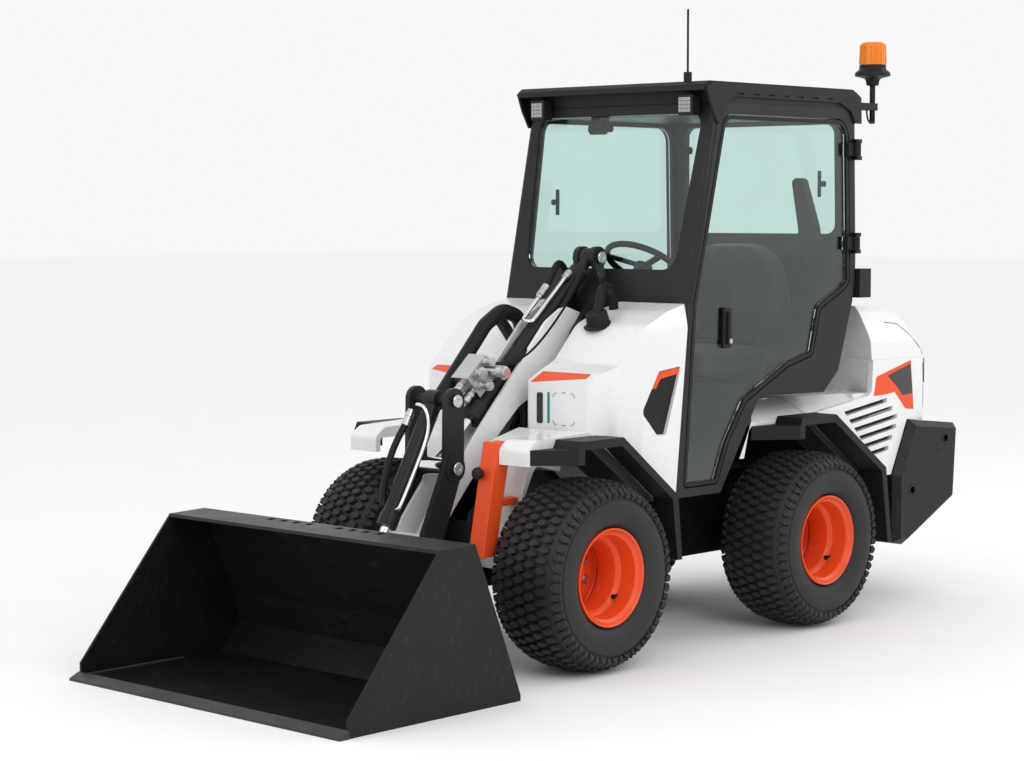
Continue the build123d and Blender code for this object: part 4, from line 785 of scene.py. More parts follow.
class LOADER_OT_tyres(LoaderOperator, bpy.types.Operator):
    """Make the four turf tyres with their tread blocks"""

    bl_idname = "loader.tyres"
    bl_label = "Tyres"

    # Half section of the carcass, as (across, radius) in millimetres
    HALF = (
        (112, 151), (119, 168), (127, 176), (136, 181), (141, 188), (147, 204), (151, 222), (152, 240),
        (149, 258), (148, 262), (144, 264), (141, 276), (134, 288), (122, 298), (104, 306), (76, 311),
        (38, 313.5), (0, 314),
    )
    STEPS = 96
    # What the tread needs besides its settings, in metres and radians
    TREAD_RADIUS = 0.3295
    TREAD = {"Width": 0.262, "Shoulder drop": 0.03, "Tip": -0.62}
    # What the ribs on the shoulders have of their own
    RIBS = {
        "Columns": 2,
        "Width": 0.277,
        "Radius": 0.287,
        "Shoulder drop": 0.0,
        "Tip": -1.12,
        "Around": 0.0052,
        "Across": 0.021,
        "Depth": 0.006,
    }
    RIBS_PER_ROW = 1.5

    def execute(self, context):
        tread = context.scene.loader_tread
        tree = tread_tree()
        values = {
            **self.TREAD,
            "Columns": tread.columns,
            "Rows": tread.rows,
            "Radius": self.TREAD_RADIUS - tread.depth,
            "Around": tread.around,
            "Across": tread.across,
            "Depth": tread.depth,
            "Material": FINISHES["tyre"],
        }
        ribs = {**values, **self.RIBS, "Rows": int(self.RIBS_PER_ROW * tread.rows)}
        section = [(y * MM, r * MM) for y, r in self.HALF]
        section += [(-y, r) for y, r in section[-2::-1]]
        for wheel in WHEELS:
            low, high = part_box("tyre_" + wheel)
            centre = (low + high) / 2
            shape = bmesh.new()
            add_lathe(shape, section, (0, 0, 0), (0, 1, 0), self.STEPS)
            carcass = shape_to_mesh(shape, "carcass")
            shape = bmesh.new()
            shape.from_mesh(carcass)
            for sizes in (values, ribs):
                blocks = grown(tree, sizes, "tread")
                shape.from_mesh(blocks)
                bpy.data.meshes.remove(blocks)
            mesh = bpy.data.meshes.new("turf_tyre")
            shape.to_mesh(mesh)
            shape.free()
            mesh.transform(Matrix.Translation(centre))
            bpy.data.meshes.remove(carcass)
            name = "turf_tyre_" + wheel
            place(mesh, name, "wheel_" + wheel, "tyre", replaced=("tyre_" + wheel,))
        return {"FINISHED"}


class LOADER_OT_rims(LoaderOperator, bpy.types.Operator):
    """Make the dished rims with hubs, wheel bolts and valve stems"""

    bl_idname = "loader.rims"
    bl_label = "Rims"

    # Section of the rim from its outer lip inwards, as (out from the middle, radius) in millimetres
    SECTION = (
        (133, 168), (134, 164), (131, 160), (126, 158), (119, 152), (114, 144), (104, 141), (60, 140),
        (55, 138), (45, 123), (41, 121), (-30, 120), (-36, 121), (-44, 136), (-50, 139), (-60, 139),
        (-63, 136), (-64, 120), (-63, 62), (-60, 57), (-42, 56), (-38, 53), (-37, 30), (-37, 0),
        (-98, 0), (-98, 58), (-78, 60), (-76, 143), (-114, 144), (-119, 152), (-133, 160), (-133, 168),
        (-117, 168), (-115, 150.5), (-44, 150), (-28, 130), (42, 130), (58, 150), (115, 150.5), (117, 168),
    )
    STEPS = 96
    BOLT_COUNT = 8
    BOLT_CIRCLE = 0.088
    BOLT_SEAT = 0.0635
    BOLT_HEAD = 0.011
    BOLT_HEIGHT = 0.014
    # The stem's section as (along, radius), its foot from the wheel's middle and its direction, on the left
    STEM = ((0, 0), (0, 0.008), (0.008, 0.0085), (0.012, 0.005), (0.034, 0.0046), (0.034, 0))
    STEM_FOOT = Vector((-0.1, 0.05, -0.086))
    STEM_WAY = Vector((0.35, 0.85, 0.3))

    def execute(self, context):
        tree = bolt_tree()
        values = {"Head": self.BOLT_HEAD, "Height": self.BOLT_HEIGHT, "Material": FINISHES["steel"]}
        for wheel in WHEELS:
            low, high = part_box("tyre_" + wheel)
            centre = (low + high) / 2
            side = 1 if centre.y > 0 else -1
            body = "wheel_" + wheel
            dish = bmesh.new()
            add_lathe(dish, [(y * MM, r * MM) for y, r in self.SECTION], centre, (0, side, 0), self.STEPS)
            settle(dish, "rim_dish_" + wheel, body, "rim_orange", replaced=("rim_" + wheel,))
            circle = []
            for index in range(self.BOLT_COUNT):
                turn = 2 * math.pi * (index + 0.5) / self.BOLT_COUNT
                reach = Vector((math.cos(turn), 0, math.sin(turn))) * self.BOLT_CIRCLE
                circle.append(centre + reach + Vector((0, -side * self.BOLT_SEAT, 0)))
            name = "wheel_bolts_" + wheel
            place(grown(tree, {**values, "Turn": FACING[side]}, name, circle), name, body, "steel")
            stem = bmesh.new()
            mirror = Vector((1, side, 1))
            add_lathe(stem, self.STEM, centre + self.STEM_FOOT * mirror, self.STEM_WAY * mirror, steps=16)
            settle(stem, "valve_stem_" + wheel, body, "black_plastic", "rubber")
        return {"FINISHED"}


class LOADER_OT_seat(LoaderOperator, bpy.types.Operator):
    """Make the padded seat with its sewn channels"""

    bl_idname = "loader.seat"
    bl_label = "Seat"

    STEPS = 26
    CHANNELS = (-0.1, 0.0, 0.1)
    CHANNEL_DEPTH = 0.009
    CHANNEL_WIDTH = 0.011
    CROWN = 0.012
    # Half-height that the cushion's box gives up to the crown
    CROWN_ROOM = 0.008
    # Corners of the cushion's box and the backrest's middle in millimetres
    CUSHION = ((-755, -228, 919), (-330, 228, 1045))
    BACKREST = (-830, 0, 1240)
    BACKREST_HALF_HEIGHT = 0.196
    BACKREST_HALF_DEPTH = 0.05
    # The backrest's face looks forward and up along its own lean
    LEAN = math.radians(-77.5)

    def pad(self, half, softness, arch=0.0):
        """A crowned pad about the origin, sewn along lines of equal y and narrowed towards -x."""
        shape = bmesh.new()
        bmesh.ops.create_cube(shape, size=2)
        bmesh.ops.subdivide_edges(shape, edges=shape.edges, cuts=self.STEPS, use_grid_fill=True)
        for vert in shape.verts:
            reach = sum(abs(value) ** softness for value in vert.co) ** (-1 / softness)
            form = vert.co * reach
            spot = Vector((form.x * half[0], form.y * half[1], form.z * half[2]))
            if form.z > 0:
                spot.z += self.CROWN * (1 - form.x**2) * (1 - form.y**2)
                lines = [(spot.y - line) / self.CHANNEL_WIDTH for line in self.CHANNELS]
                dip = sum(math.exp(-(line**2)) for line in lines)
                spot.z -= self.CHANNEL_DEPTH * dip * min(1.0, 2 * form.z)
            spot.y *= 1 - arch * max(0.0, -form.x - 0.3) ** 2
            vert.co = spot
        return shape

    def execute(self, context):
        low, high = (at(*corner) for corner in self.CUSHION)
        size = (high - low) / 2
        cushion = self.pad((size.x, size.y, size.z - self.CROWN_ROOM), softness=7)
        cushion.transform(Matrix.Translation((low + high) / 2))
        half = (self.BACKREST_HALF_HEIGHT, size.y, self.BACKREST_HALF_DEPTH)
        rest = self.pad(half, softness=5, arch=0.6)
        turn = Matrix.Rotation(self.LEAN, 4, "Y") @ Matrix.Rotation(math.pi, 4, "Y")
        rest.transform(Matrix.Translation(at(*self.BACKREST)) @ turn)
        for shape, name in ((cushion, "seat_cushion"), (rest, "seat_backrest")):
            piece = settle(shape, name, "front_frame", "seat_cover", replaced=("seat",))
        return {"FINISHED"}


class LOADER_OT_grilles(LoaderOperator, bpy.types.Operator):
    """Make the cowls' mesh grilles with their coloured corners"""

    bl_idname = "loader.grilles"
    bl_label = "Grilles"

    # Outline of the recess as (x, z) in millimetres, and the coloured corner in it
    RECESS = ((87, 1010), (204, 997), (290, 869), (290, 853), (214, 776), (171, 776))
    CORNER = ((87, 1010), (204, 997), (243, 938), (216, 940), (192, 974), (94, 986))
    FACE_Y = 444.5
    CORNER_THICK = 4
    # The cells' first place (x, z), pitch, rows and columns, and how far they keep from the outline
    FIRST = (80, 770)
    PITCH = 9.5
    COUNT = 30
    MARGIN = 6
    CELL = 0.0038
    CELL_DEPTH = 0.0012

    def inside(self, x, z):
        """True where a place lies well inside the recess."""
        ring = self.RECESS
        for (x0, z0), (x1, z1) in zip(ring, ring[1:] + ring[:1]):
            length = math.hypot(x1 - x0, z1 - z0)
            if ((x1 - x0) * (z - z0) - (z1 - z0) * (x - x0)) / length > -self.MARGIN:
                return False
        return True

    def execute(self, context):
        tree = cell_tree()
        values = {"Cell": self.CELL, "Depth": self.CELL_DEPTH, "Material": FINISHES["void"]}
        for side, hand in HANDS:
            back, corner = bmesh.new(), bmesh.new()
            face_y, corner_y = side * self.FACE_Y, side * (self.FACE_Y + self.CORNER_THICK)
            side_plate(back, self.RECESS, face_y - side, face_y)
            side_plate(corner, self.CORNER, face_y, corner_y, rounding=0.001)
            settle(back, "grille_panel_" + hand, "front_frame", "black_plastic")
            settle(corner, "grille_corner_" + hand, "front_frame", "orange_paint")
            cells = []
            for row in range(self.COUNT):
                for column in range(self.COUNT):
                    x = self.FIRST[0] + self.PITCH * (column + 0.5 * (row % 2))
                    z = self.FIRST[1] + self.PITCH * 0.866 * row
                    if self.inside(x, z):
                        cells.append(at(x, side * (self.FACE_Y - 0.2), z))
            name = "grille_cells_" + hand
            mesh = grown(tree, {**values, "Turn": FACING[side]}, name, cells)
            place(mesh, name, "front_frame", "black_plastic", "void")
        return {"FINISHED"}


class LOADER_OT_louvres(LoaderOperator, bpy.types.Operator):
    """Fill the side panels' slots with slanted dark blades"""

    bl_idname = "loader.louvres"
    bl_label = "Louvres"

    # Rear ends of the slots in millimetres, one for each row from the top
    ENDS = (-1212, -1252, -1284, -1278, -1252, -1226)
    # Front end of the first slot as (x, z), and how the next ones lie to it
    FIRST = (-938, 770)
    LEAN = -34
    PITCH = -34
    GAP = 17
    RISE = 0.135
    PLAY = 0.6
    # Places across the machine: the blades' back, and their faces at each corner
    BACK_Y = 430.6
    FACE_Y = (431.0, 431.0, 444.0, 444.0)

    def execute(self, context):
        for side, hand in HANDS:
            shape = bmesh.new()
            for row, rear in enumerate(self.ENDS):
                front = self.FIRST[0] + self.LEAN * row
                low = self.FIRST[1] + self.PITCH * row
                lift = (front - rear) * self.RISE
                ring = [
                    (front - 2, low + self.PLAY),
                    (rear + 1, low + lift + self.PLAY),
                    (rear + 1, low + lift + self.GAP - self.PLAY),
                    (front + self.GAP - 3, low + self.GAP - self.PLAY),
                ]
                back = [at(x, side * self.BACK_Y, z) for x, z in ring]
                add_prism(shape, back, [at(x, side * y, z) for (x, z), y in zip(ring, self.FACE_Y)])
            settle(shape, "louvre_blades_" + hand, "rear_frame", "black_plastic", "void")
        return {"FINISHED"}


class LOADER_OT_trim(LoaderOperator, bpy.types.Operator):
    """Lay the plain colour plates on the cowls and side panels"""

    bl_idname = "loader.trim"
    bl_label = "Trim plates"

    # Outlines on the side panel as (x, z) in millimetres, and their faces across the machine
    PANEL = (
        (-1119, 837), (-1136, 912), (-1377, 968), (-1400, 769),
        (-1342, 774), (-1264, 845), (-1183, 838),
    )
    PANEL_FACES = (455.1, 455.7)
    INSET = ((-1212, 913), (-1373, 953), (-1391, 834), (-1320, 829), (-1281, 865))
    INSET_FACES = (455.75, 456.3)
    # Outline (x, y) on the slope of the cowl's box, a place (x, z) on it, its fall and the film's thickness
    BOX = ((480, 150), (546, 150), (508, 376), (480, 376))
    SLOPE = (474, 1004.3)
    FALL = 0.519
    FILM = Vector((0, 0, 0.0006))

    def execute(self, context):
        for side, hand in HANDS:
            panel, inset, box = bmesh.new(), bmesh.new(), bmesh.new()
            side_plate(panel, self.PANEL, *(side * y for y in self.PANEL_FACES))
            settle(panel, "panel_accent_" + hand, "rear_frame", "orange_paint")
            side_plate(inset, self.INSET, *(side * y for y in self.INSET_FACES))
            settle(inset, "panel_inset_" + hand, "rear_frame", "black_plastic", "dark_trim_and_shade")
            top = [at(x, side * y, self.SLOPE[1] - (x - self.SLOPE[0]) * self.FALL) for x, y in self.BOX]
            add_prism(box, [corner - self.FILM for corner in top], top)
            settle(box, "box_accent_" + hand, "front_frame", "orange_paint")
        return {"FINISHED"}


class LOADER_OT_lamps(LoaderOperator, bpy.types.Operator):
    """Make the lenses of the work lights, rear lamps and tail lamps, and the beacon's ribs"""

    bl_idname = "loader.lamps"
    bl_label = "Lamps"

    # Columns: name, two corners of the left lens in millimetres, the way it faces, rows and columns
    LENSES = (
        ("work_lens_", (-43.8, 334, 1919), (-40, 386, 1973), 1, 4, 4),
        ("rear_lens_", (-1068.2, 420, 1238), (-1060, 464, 1330), -1, 8, 4),
    )
    PILLOW = 0.16
    # The tail lens bends round the hood's corner: its centre (x, y), foot, both radii and turns in degrees
    TAIL_CENTRE = (-1410, 265)
    TAIL_FOOT = 868
    TAIL_RADII = (190.4, 196)
    TAIL_TURNS = range(16, 52, 5)
    TAIL_HEIGHT = Vector((0, 0, 0.1))
    # Foot of the beacon's lens in millimetres, and the sizes of its ribs in metres
    BEACON = (-1138, 420, 2138)
    RIB_COUNT = 24
    RIB_CIRCLE = 0.051
    RIB_HALF = 0.0022
    RIB_OUT = 0.003
    RIB_HEIGHT = Vector((0, 0, 0.074))
    RIB_DRAFT = 0.0035

    def lens(self, low, high, direction, rows, columns):
        """A block lens with a grid of small pillows on the side it faces."""
        shape = bmesh.new()
        for row in range(rows):
            for column in range(columns):
                z0 = low.z + (high.z - low.z) * row / rows
                z1 = low.z + (high.z - low.z) * (row + 1) / rows
                y0 = low.y + (high.y - low.y) * column / columns
                y1 = low.y + (high.y - low.y) * (column + 1) / columns
                ring = [(y0, z0), (y1, z0), (y1, z1), (y0, z1)]
                back = [Vector((low.x, y, z)) for y, z in ring]
                middle = Vector(((y0 + y1) / 2, (z0 + z1) / 2))
                face = []
                for y, z in ring:
                    near = Vector((y, z)).lerp(middle, self.PILLOW)
                    face.append(Vector((low.x + direction * (high.x - low.x), near.x, near.y)))
                add_prism(shape, back, face)
        return shape

    def execute(self, context):
        for side, hand in HANDS:
            for name, (x0, y0, z0), (x1, y1, z1), direction, rows, columns in self.LENSES:
                y_low, y_high = sorted((side * y0, side * y1))
                shape = self.lens(at(x0, y_low, z0), at(x1, y_high, z1), direction, rows, columns)
                settle(shape, name + hand, "front_frame", "lamp")
            x, y = self.TAIL_CENTRE
            turns = [math.radians(turn) for turn in self.TAIL_TURNS]
            inner, outer = (
                [at(x - r * math.cos(t), side * (y + r * math.sin(t)), self.TAIL_FOOT) for t in turns]
                for r in self.TAIL_RADII
            )
            foot = inner + outer[::-1]
            shape = bmesh.new()
            add_prism(shape, foot, [corner + self.TAIL_HEIGHT for corner in foot], rounding=0.0015)
            settle(shape, "tail_lens_" + hand, "rear_frame", "lamp", "red_lens")
        ribs = bmesh.new()
        for rib in range(self.RIB_COUNT):
            turn = 2 * math.pi * rib / self.RIB_COUNT
            out = Vector((math.cos(turn), math.sin(turn), 0))
            across = Vector((-out.y, out.x, 0)) * self.RIB_HALF
            foot = at(*self.BEACON) + out * self.RIB_CIRCLE
            crest = foot + out * self.RIB_OUT
            ring = [foot - across, foot + across, crest + across * 0.6, crest - across * 0.6]
            add_prism(ribs, ring, [corner + self.RIB_HEIGHT - out * self.RIB_DRAFT for corner in ring])
        settle(ribs, "beacon_ribs", "front_frame", "amber")
        return {"FINISHED"}


class LOADER_OT_door_fittings(LoaderOperator, bpy.types.Operator):
    """Make the door's pull handle and its lock"""

    bl_idname = "loader.door_fittings"
    bl_label = "Door fittings"

    # Outlines as (x, z) and faces across the machine, in millimetres
    PLATE = (
        (-158, 1066), (-152, 1080), (-156, 1204), (-162, 1214),
        (-198, 1214), (-206, 1200), (-204, 1078), (-198, 1066),
    )
    PLATE_FACES = (446, 458)
    GRIP = ((-170, 1080), (-172, 1200), (-190, 1200), (-190, 1080))
    GRIP_FACES = (457, 469)
    # The lock's place in millimetres and its section as (along, radius) in metres
    LOCK = (-181, 469, 1092)
    LOCK_SECTION = ((0, 0), (0, 0.009), (0.004, 0.009), (0.005, 0.007), (0.005, 0))

    def execute(self, context):
        handle = bmesh.new()
        side_plate(handle, self.PLATE, *self.PLATE_FACES, rounding=0.003)
        side_plate(handle, self.GRIP, *self.GRIP_FACES, rounding=0.004)
        settle(handle, "door_handle", "door", "black_plastic")
        lock = bmesh.new()
        add_lathe(lock, self.LOCK_SECTION, at(*self.LOCK), (0, 1, 0), steps=24)
        settle(lock, "door_lock", "door", "steel")
        return {"FINISHED"}


class LOADER_OT_cab_fittings(LoaderOperator, bpy.types.Operator):
    """Make the window latches, the rear pane's clamps, the wiper's motor and the beacon's cable"""

    bl_idname = "loader.cab_fittings"
    bl_label = "Cab fittings"

    # Columns: name, body, grip's place and the stem's far end, in millimetres
    LATCHES = (
        ("door_latch", "door", (-797, 412, 1667), (-797, 436, 1667)),
        ("window_latch", "front_frame", (-218, -408, 1597), (-218, -431, 1597)),
    )
    # Half sizes of a grip in millimetres, and the stem's radii in metres
    LATCH_HALF = (7, 5, 50)
    STEM_RADII = (0.009, 0.012)
    # The clamps' places and outline as (y, z) in millimetres, and their place off the pane's back in metres
    CLAMPS = ((-390, 1810), (-344, 1432))
    CLAMP = ((-40, -15), (34, -15), (40, 0), (34, 15), (-40, 15))
    CLAMP_OFFSET = 0.007
    CLAMP_THICK = Vector((0.006, 0, 0))
    # The wiper's motor: place and bracket (x, z) in millimetres, section as (along, radius) in metres
    MOTOR = (-140, -168, 1872)
    MOTOR_SECTION = (
        (0, 0), (0, 0.018), (0.004, 0.022), (0.07, 0.022), (0.074, 0.014), (0.1, 0.014), (0.1, 0)
    )
    BRACKET = ((-162, 1884), (-118, 1884), (-118, 1925), (-162, 1925))
    BRACKET_FACES = (-150, -96)
    # Clamped between the beacon's post and the roof
    CABLE = (
        (-1138, 424, 1962),
        (-1139, 430, 1930),
        (-1118, 438, 1904),
        (-1086, 440, 1908),
        (-1074, 438, 1936),
        (-1080, 434, 1960),
    )
    CABLE_RADIUS = 0.0035

    def execute(self, context):
        for name, body, (x, y, z), tip in self.LATCHES:
            shape = bmesh.new()
            half_x, half_y, half_z = self.LATCH_HALF
            bar = [(x + half_x * i, z + half_z * j) for i, j in ((-1, -1), (1, -1), (1, 1), (-1, 1))]
            side_plate(shape, bar, y - half_y, y + half_y, rounding=0.003)
            stem = Vector(tip) - Vector((x, y, z))
            start_r, end_r = self.STEM_RADII
            form = [(0, 0), (0, start_r), (stem.length * MM, end_r), (stem.length * MM, 0)]
            add_lathe(shape, form, at(x, y, z), stem, steps=16)
            settle(shape, name, body, "black_plastic")
        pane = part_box("cab_glass")[0].x + self.CLAMP_OFFSET
        clamps = bmesh.new()
        for y, z in self.CLAMPS:
            back = [Vector((pane, (y + across) * MM, (z + above) * MM)) for across, above in self.CLAMP]
            add_prism(clamps, back, [corner + self.CLAMP_THICK for corner in back])
        settle(clamps, "pane_clamps", "front_frame", "black_plastic")
        motor = bmesh.new()
        add_lathe(motor, self.MOTOR_SECTION, at(*self.MOTOR), (0, 1, 0), steps=28)
        side_plate(motor, self.BRACKET, *self.BRACKET_FACES, rounding=0.003)
        settle(motor, "wiper_motor", "front_frame", "black_plastic")
        mesh = tube_mesh("beacon_cable", [at(*step) for step in self.CABLE], self.CABLE_RADIUS)
        place(mesh, "beacon_cable", "front_frame", "black_plastic", "rubber")
        return {"FINISHED"}


class LOADER_OT_seams(LoaderOperator, bpy.types.Operator):
    """Draw the tailgate's shut lines on the hood and the side panels"""

    bl_idname = "loader.seams"
    bl_label = "Seams"

    # The line's corners as (x, z) in millimetres, and the place beside the machine that it is cast from
    LINE = ((-1266, 1121), (-1347, 1113), (-1477, 986), (-1528, 736))
    CAST_Y = 800
    STEPS = 8
    RADIUS = 0.0016

    def execute(self, context):
        skins = {}
        for node, body in (("hood", "hood"), ("side_panels", "rear_frame")):
            source = NODES[node]
            corners = [source.matrix_world @ vert.co for vert in source.data.vertices]
            skins[body] = BVHTree.FromPolygons(corners, [face.vertices for face in source.data.polygons])
        for side, hand in HANDS:
            routes = {body: [] for body in skins}
            for (x0, z0), (x1, z1) in zip(self.LINE, self.LINE[1:]):
                for step in range(self.STEPS):
                    share = step / self.STEPS
                    start = at(x0 + (x1 - x0) * share, side * self.CAST_Y, z0 + (z1 - z0) * share)
                    hits = {body: skin.ray_cast(start, (0, -side, 0)) for body, skin in skins.items()}
                    reached = {body: hit[3] for body, hit in hits.items() if hit[0] is not None}
                    if reached:
                        nearest = min(reached, key=reached.get)
                        routes[nearest].append(hits[nearest][0])
            for body, route in routes.items():
                if len(route) > 2:
                    name = f"shut_line_{body}_{hand}"
                    place(tube_mesh(name, route, self.RADIUS), name, body, "black_plastic", "void")
        return {"FINISHED"}


class LOADER_OT_pins(LoaderOperator, bpy.types.Operator):
    """Cap both ends of the linkage's pins"""

    bl_idname = "loader.pins"
    bl_label = "Pin caps"

    # Columns: body, pin (x, z) and the cap's inner place across, in millimetres
    CAPS = (
        ("front_frame", (62, 1394), 56),
        ("front_frame", (175, 1141), 108),
        ("carrier", (870, 915), 106),
        ("carrier", (872, 683), 110),
        ("carrier", (985, 430), 106),
        ("carrier", (1020, 300), 126),
    )
    # Section of a cap as (along, radius) in metres
    SECTION = (
        (0, 0), (0, 0.021), (0.003, 0.0225), (0.007, 0.0225),
        (0.009, 0.02), (0.009, 0.008), (0.007, 0.006), (0.007, 0),
    )

    def execute(self, context):
        for index, (body, (x, z), y) in enumerate(self.CAPS):
            caps = bmesh.new()
            for side in SIDES:
                add_lathe(caps, self.SECTION, at(x, side * y, z), (0, side, 0), steps=32)
            settle(caps, f"pin_caps_{index + 1}", body, "steel")
        return {"FINISHED"}


class LOADER_OT_lines(LoaderOperator, bpy.types.Operator):
    """Run the hydraulic pipes and hoses along the lifting gear"""

    bl_idname = "loader.lines"
    bl_label = "Hydraulic lines"

    # The pins of each cylinder at rest, foot and tip, as (x, z) in millimetres
    CYLINDERS = {"level": ((62, 1394), (872, 683)), "tilt": ((870, 915), (1190, 342))}
    # Columns: name, body, cylinder, radius, finish and the route as (along, above, across) in millimetres
    ROUTES = (
        ("level_pipe", "level_link", "level", 7.5, "chrome_rod", (
            (140, 40, 22), (144, 52, 22), (190, 50, 22), (380, 50, 22), (402, 52, 20),
            (404, 56, -2), (402, 58, -20), (380, 58, -22), (285, 60, -22),
        )),
        ("level_feed", "level_link", "level", 13, "rubber", (
            (232, 62, -22), (190, 72, -22), (142, 82, -24), (112, 74, -30), (102, 50, -34), (106, 28, -32),
        )),
        ("level_hose", "level_link", "level", 12.5, "rubber", (
            (110, 24, 44), (180, 16, 54), (300, 2, 54), (430, 0, 54),
            (530, 12, 54), (610, 44, 50), (650, 74, 34), (664, 84, 14),
        )),
        ("tilt_pipe", "tilt_barrel", "tilt", 6.5, "chrome_rod", (
            (40, 34, -26), (44, 52, -26), (46, 56, 0), (56, 52, 30), (96, 30, 46),
            (150, 14, 48), (280, 14, 48), (404, 16, 47), (418, 16, 42), (420, 15, 34),
        )),
        ("tilt_hose", "tilt_barrel", "tilt", 12, "rubber", (
            (118, 46, -44), (180, 54, -48), (260, 52, -50), (340, 34, -50), (396, 16, -46), (412, 10, -36),
        )),
    )
    # Columns: name, body, cylinder and the places of the fitting's two ends
    FITTINGS = (
        ("level_fitting", "level_link", "level", (288, 60, -22), (226, 62, -22)),
        ("level_joint", "level_link", "level", (134, 50, 22), (166, 51, 22)),
        ("tilt_fitting", "tilt_barrel", "tilt", (64, 46, -42), (124, 46, -44)),
    )
    # Hexagon nut and crimped sleeve, as (share along, radius in metres)
    FITTING_FORM = (
        (0, 0), (0, 0.012), (0.2, 0.0125), (0.22, 0.0155), (0.44, 0.0155),
        (0.46, 0.013), (0.6, 0.013), (0.62, 0.0152), (1, 0.0152), (1, 0),
    )
    # Service couplers: along and above the levelling cylinder, radius and far end across
    COUPLERS = ((682, 74, 17, 112), (742, 66, 15, 72), (724, 108, 19, 52), (672, 116, 13, 64))
    # A coupler's nut and grip ring, as (along, height on the coupler) in metres, and their places across
    NUT = ((0, 0), (0, 0.005), (0.01, 0.005), (0.01, 0))
    NUT_Y = 25
    GRIP = ((0, 0), (0.001, 0.0025), (0.004, 0.0025), (0.005, 0))
    GRIPS_BACK = (22, 15, 8)
    # Hose ends at the couplers' block: both ends along the cylinder, and places as (above, across)
    HOSE_END_SPAN = (774, 824)
    HOSE_ENDS = ((62, -36), (62, 2), (104, -20))

    def beside(self, cylinder, along, above, y):
        """A place beside a cylinder at rest, in millimetres along, above and across it."""
        (x0, z0), (x1, z1) = self.CYLINDERS[cylinder]
        way = Vector((x1 - x0, z1 - z0)).normalized()
        return at(x0 + along * way.x - above * way.y, y, z0 + along * way.y + above * way.x)

    def add_fitting(self, shape, foot, tip):
        """Adds a hose's nut and sleeve between two places."""
        form = [(share * (tip - foot).length, radius) for share, radius in self.FITTING_FORM]
        add_lathe(shape, form, foot, tip - foot, steps=12)

    def add_ring(self, shape, form, radius, centre, steps):
        """Adds a ring of a form on a coupler of a radius in millimetres."""
        raised = [(along, radius * MM + height) for along, height in form]
        add_lathe(shape, raised, centre, (0, 1, 0), steps)

    def execute(self, context):
        for name, body, cylinder, radius, finish, route in self.ROUTES:
            mesh = tube_mesh(name, [self.beside(cylinder, *step) for step in route], radius * MM)
            place(mesh, name, body, "black_plastic" if finish == "rubber" else finish, finish)
        for name, body, cylinder, start, end in self.FITTINGS:
            shape = bmesh.new()
            self.add_fitting(shape, self.beside(cylinder, *start), self.beside(cylinder, *end))
            settle(shape, name, body, "steel")
        rings = bmesh.new()
        for along, above, radius, far in self.COUPLERS:
            self.add_ring(rings, self.NUT, radius, self.beside("level", along, above, self.NUT_Y), 6)
            for back in self.GRIPS_BACK:
                self.add_ring(rings, self.GRIP, radius, self.beside("level", along, above, far - back), 28)
        for above, y in self.HOSE_ENDS:
            ends = (self.beside("level", along, above, y) for along in self.HOSE_END_SPAN)
            self.add_fitting(rings, *ends)
        settle(rings, "coupler_rings", "level_link", "steel")
        return {"FINISHED"}


class LOADER_OT_bucket_welds(LoaderOperator, bpy.types.Operator):
    """Lay the stitch welds along the bucket's edge and in its corners"""

    bl_idname = "loader.bucket_welds"
    bl_label = "Bucket welds"

    # The stitches in millimetres: how far the row reaches to each side, length and pitch of the ripples
    STITCHES = 6
    STITCH_REACH = 560
    STITCH_LENGTH = 110
    RIPPLE_PITCH = 7
    CORNER_RIPPLES = 60
    # Places in metres: behind the edge, above the ground, in from the sides and where the corners start
    BEHIND = 0.001
    HEIGHT = 0.014
    INSET = 0.012
    CORNER_START = 0.02
    RIPPLE_SIZE = (0.0055, 0.0065, 0.005)

    def execute(self, context):
        low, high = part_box("cutting_edge")
        line_x = low.x - self.BEHIND
        pitch = self.RIPPLE_PITCH
        ripples = []
        for stitch in range(self.STITCHES):
            share = stitch / (self.STITCHES - 1)
            start = -self.STITCH_REACH + (2 * self.STITCH_REACH - self.STITCH_LENGTH) * share
            for ripple in range(self.STITCH_LENGTH // pitch):
                ripples.append((line_x, (start + ripple * pitch) * MM, self.HEIGHT))
        for side in (low.y + self.INSET, high.y - self.INSET):
            for ripple in range(self.CORNER_RIPPLES):
                ripples.append((line_x - self.CORNER_START - ripple * pitch * MM, side, self.HEIGHT))
        values = {"Size": self.RIPPLE_SIZE, "Material": FINISHES["edge_steel"]}
        mesh = grown(ripple_tree(), values, "stitch_welds", ripples)
        place(mesh, "stitch_welds", "bucket", "steel", "edge_steel")
        return {"FINISHED"}


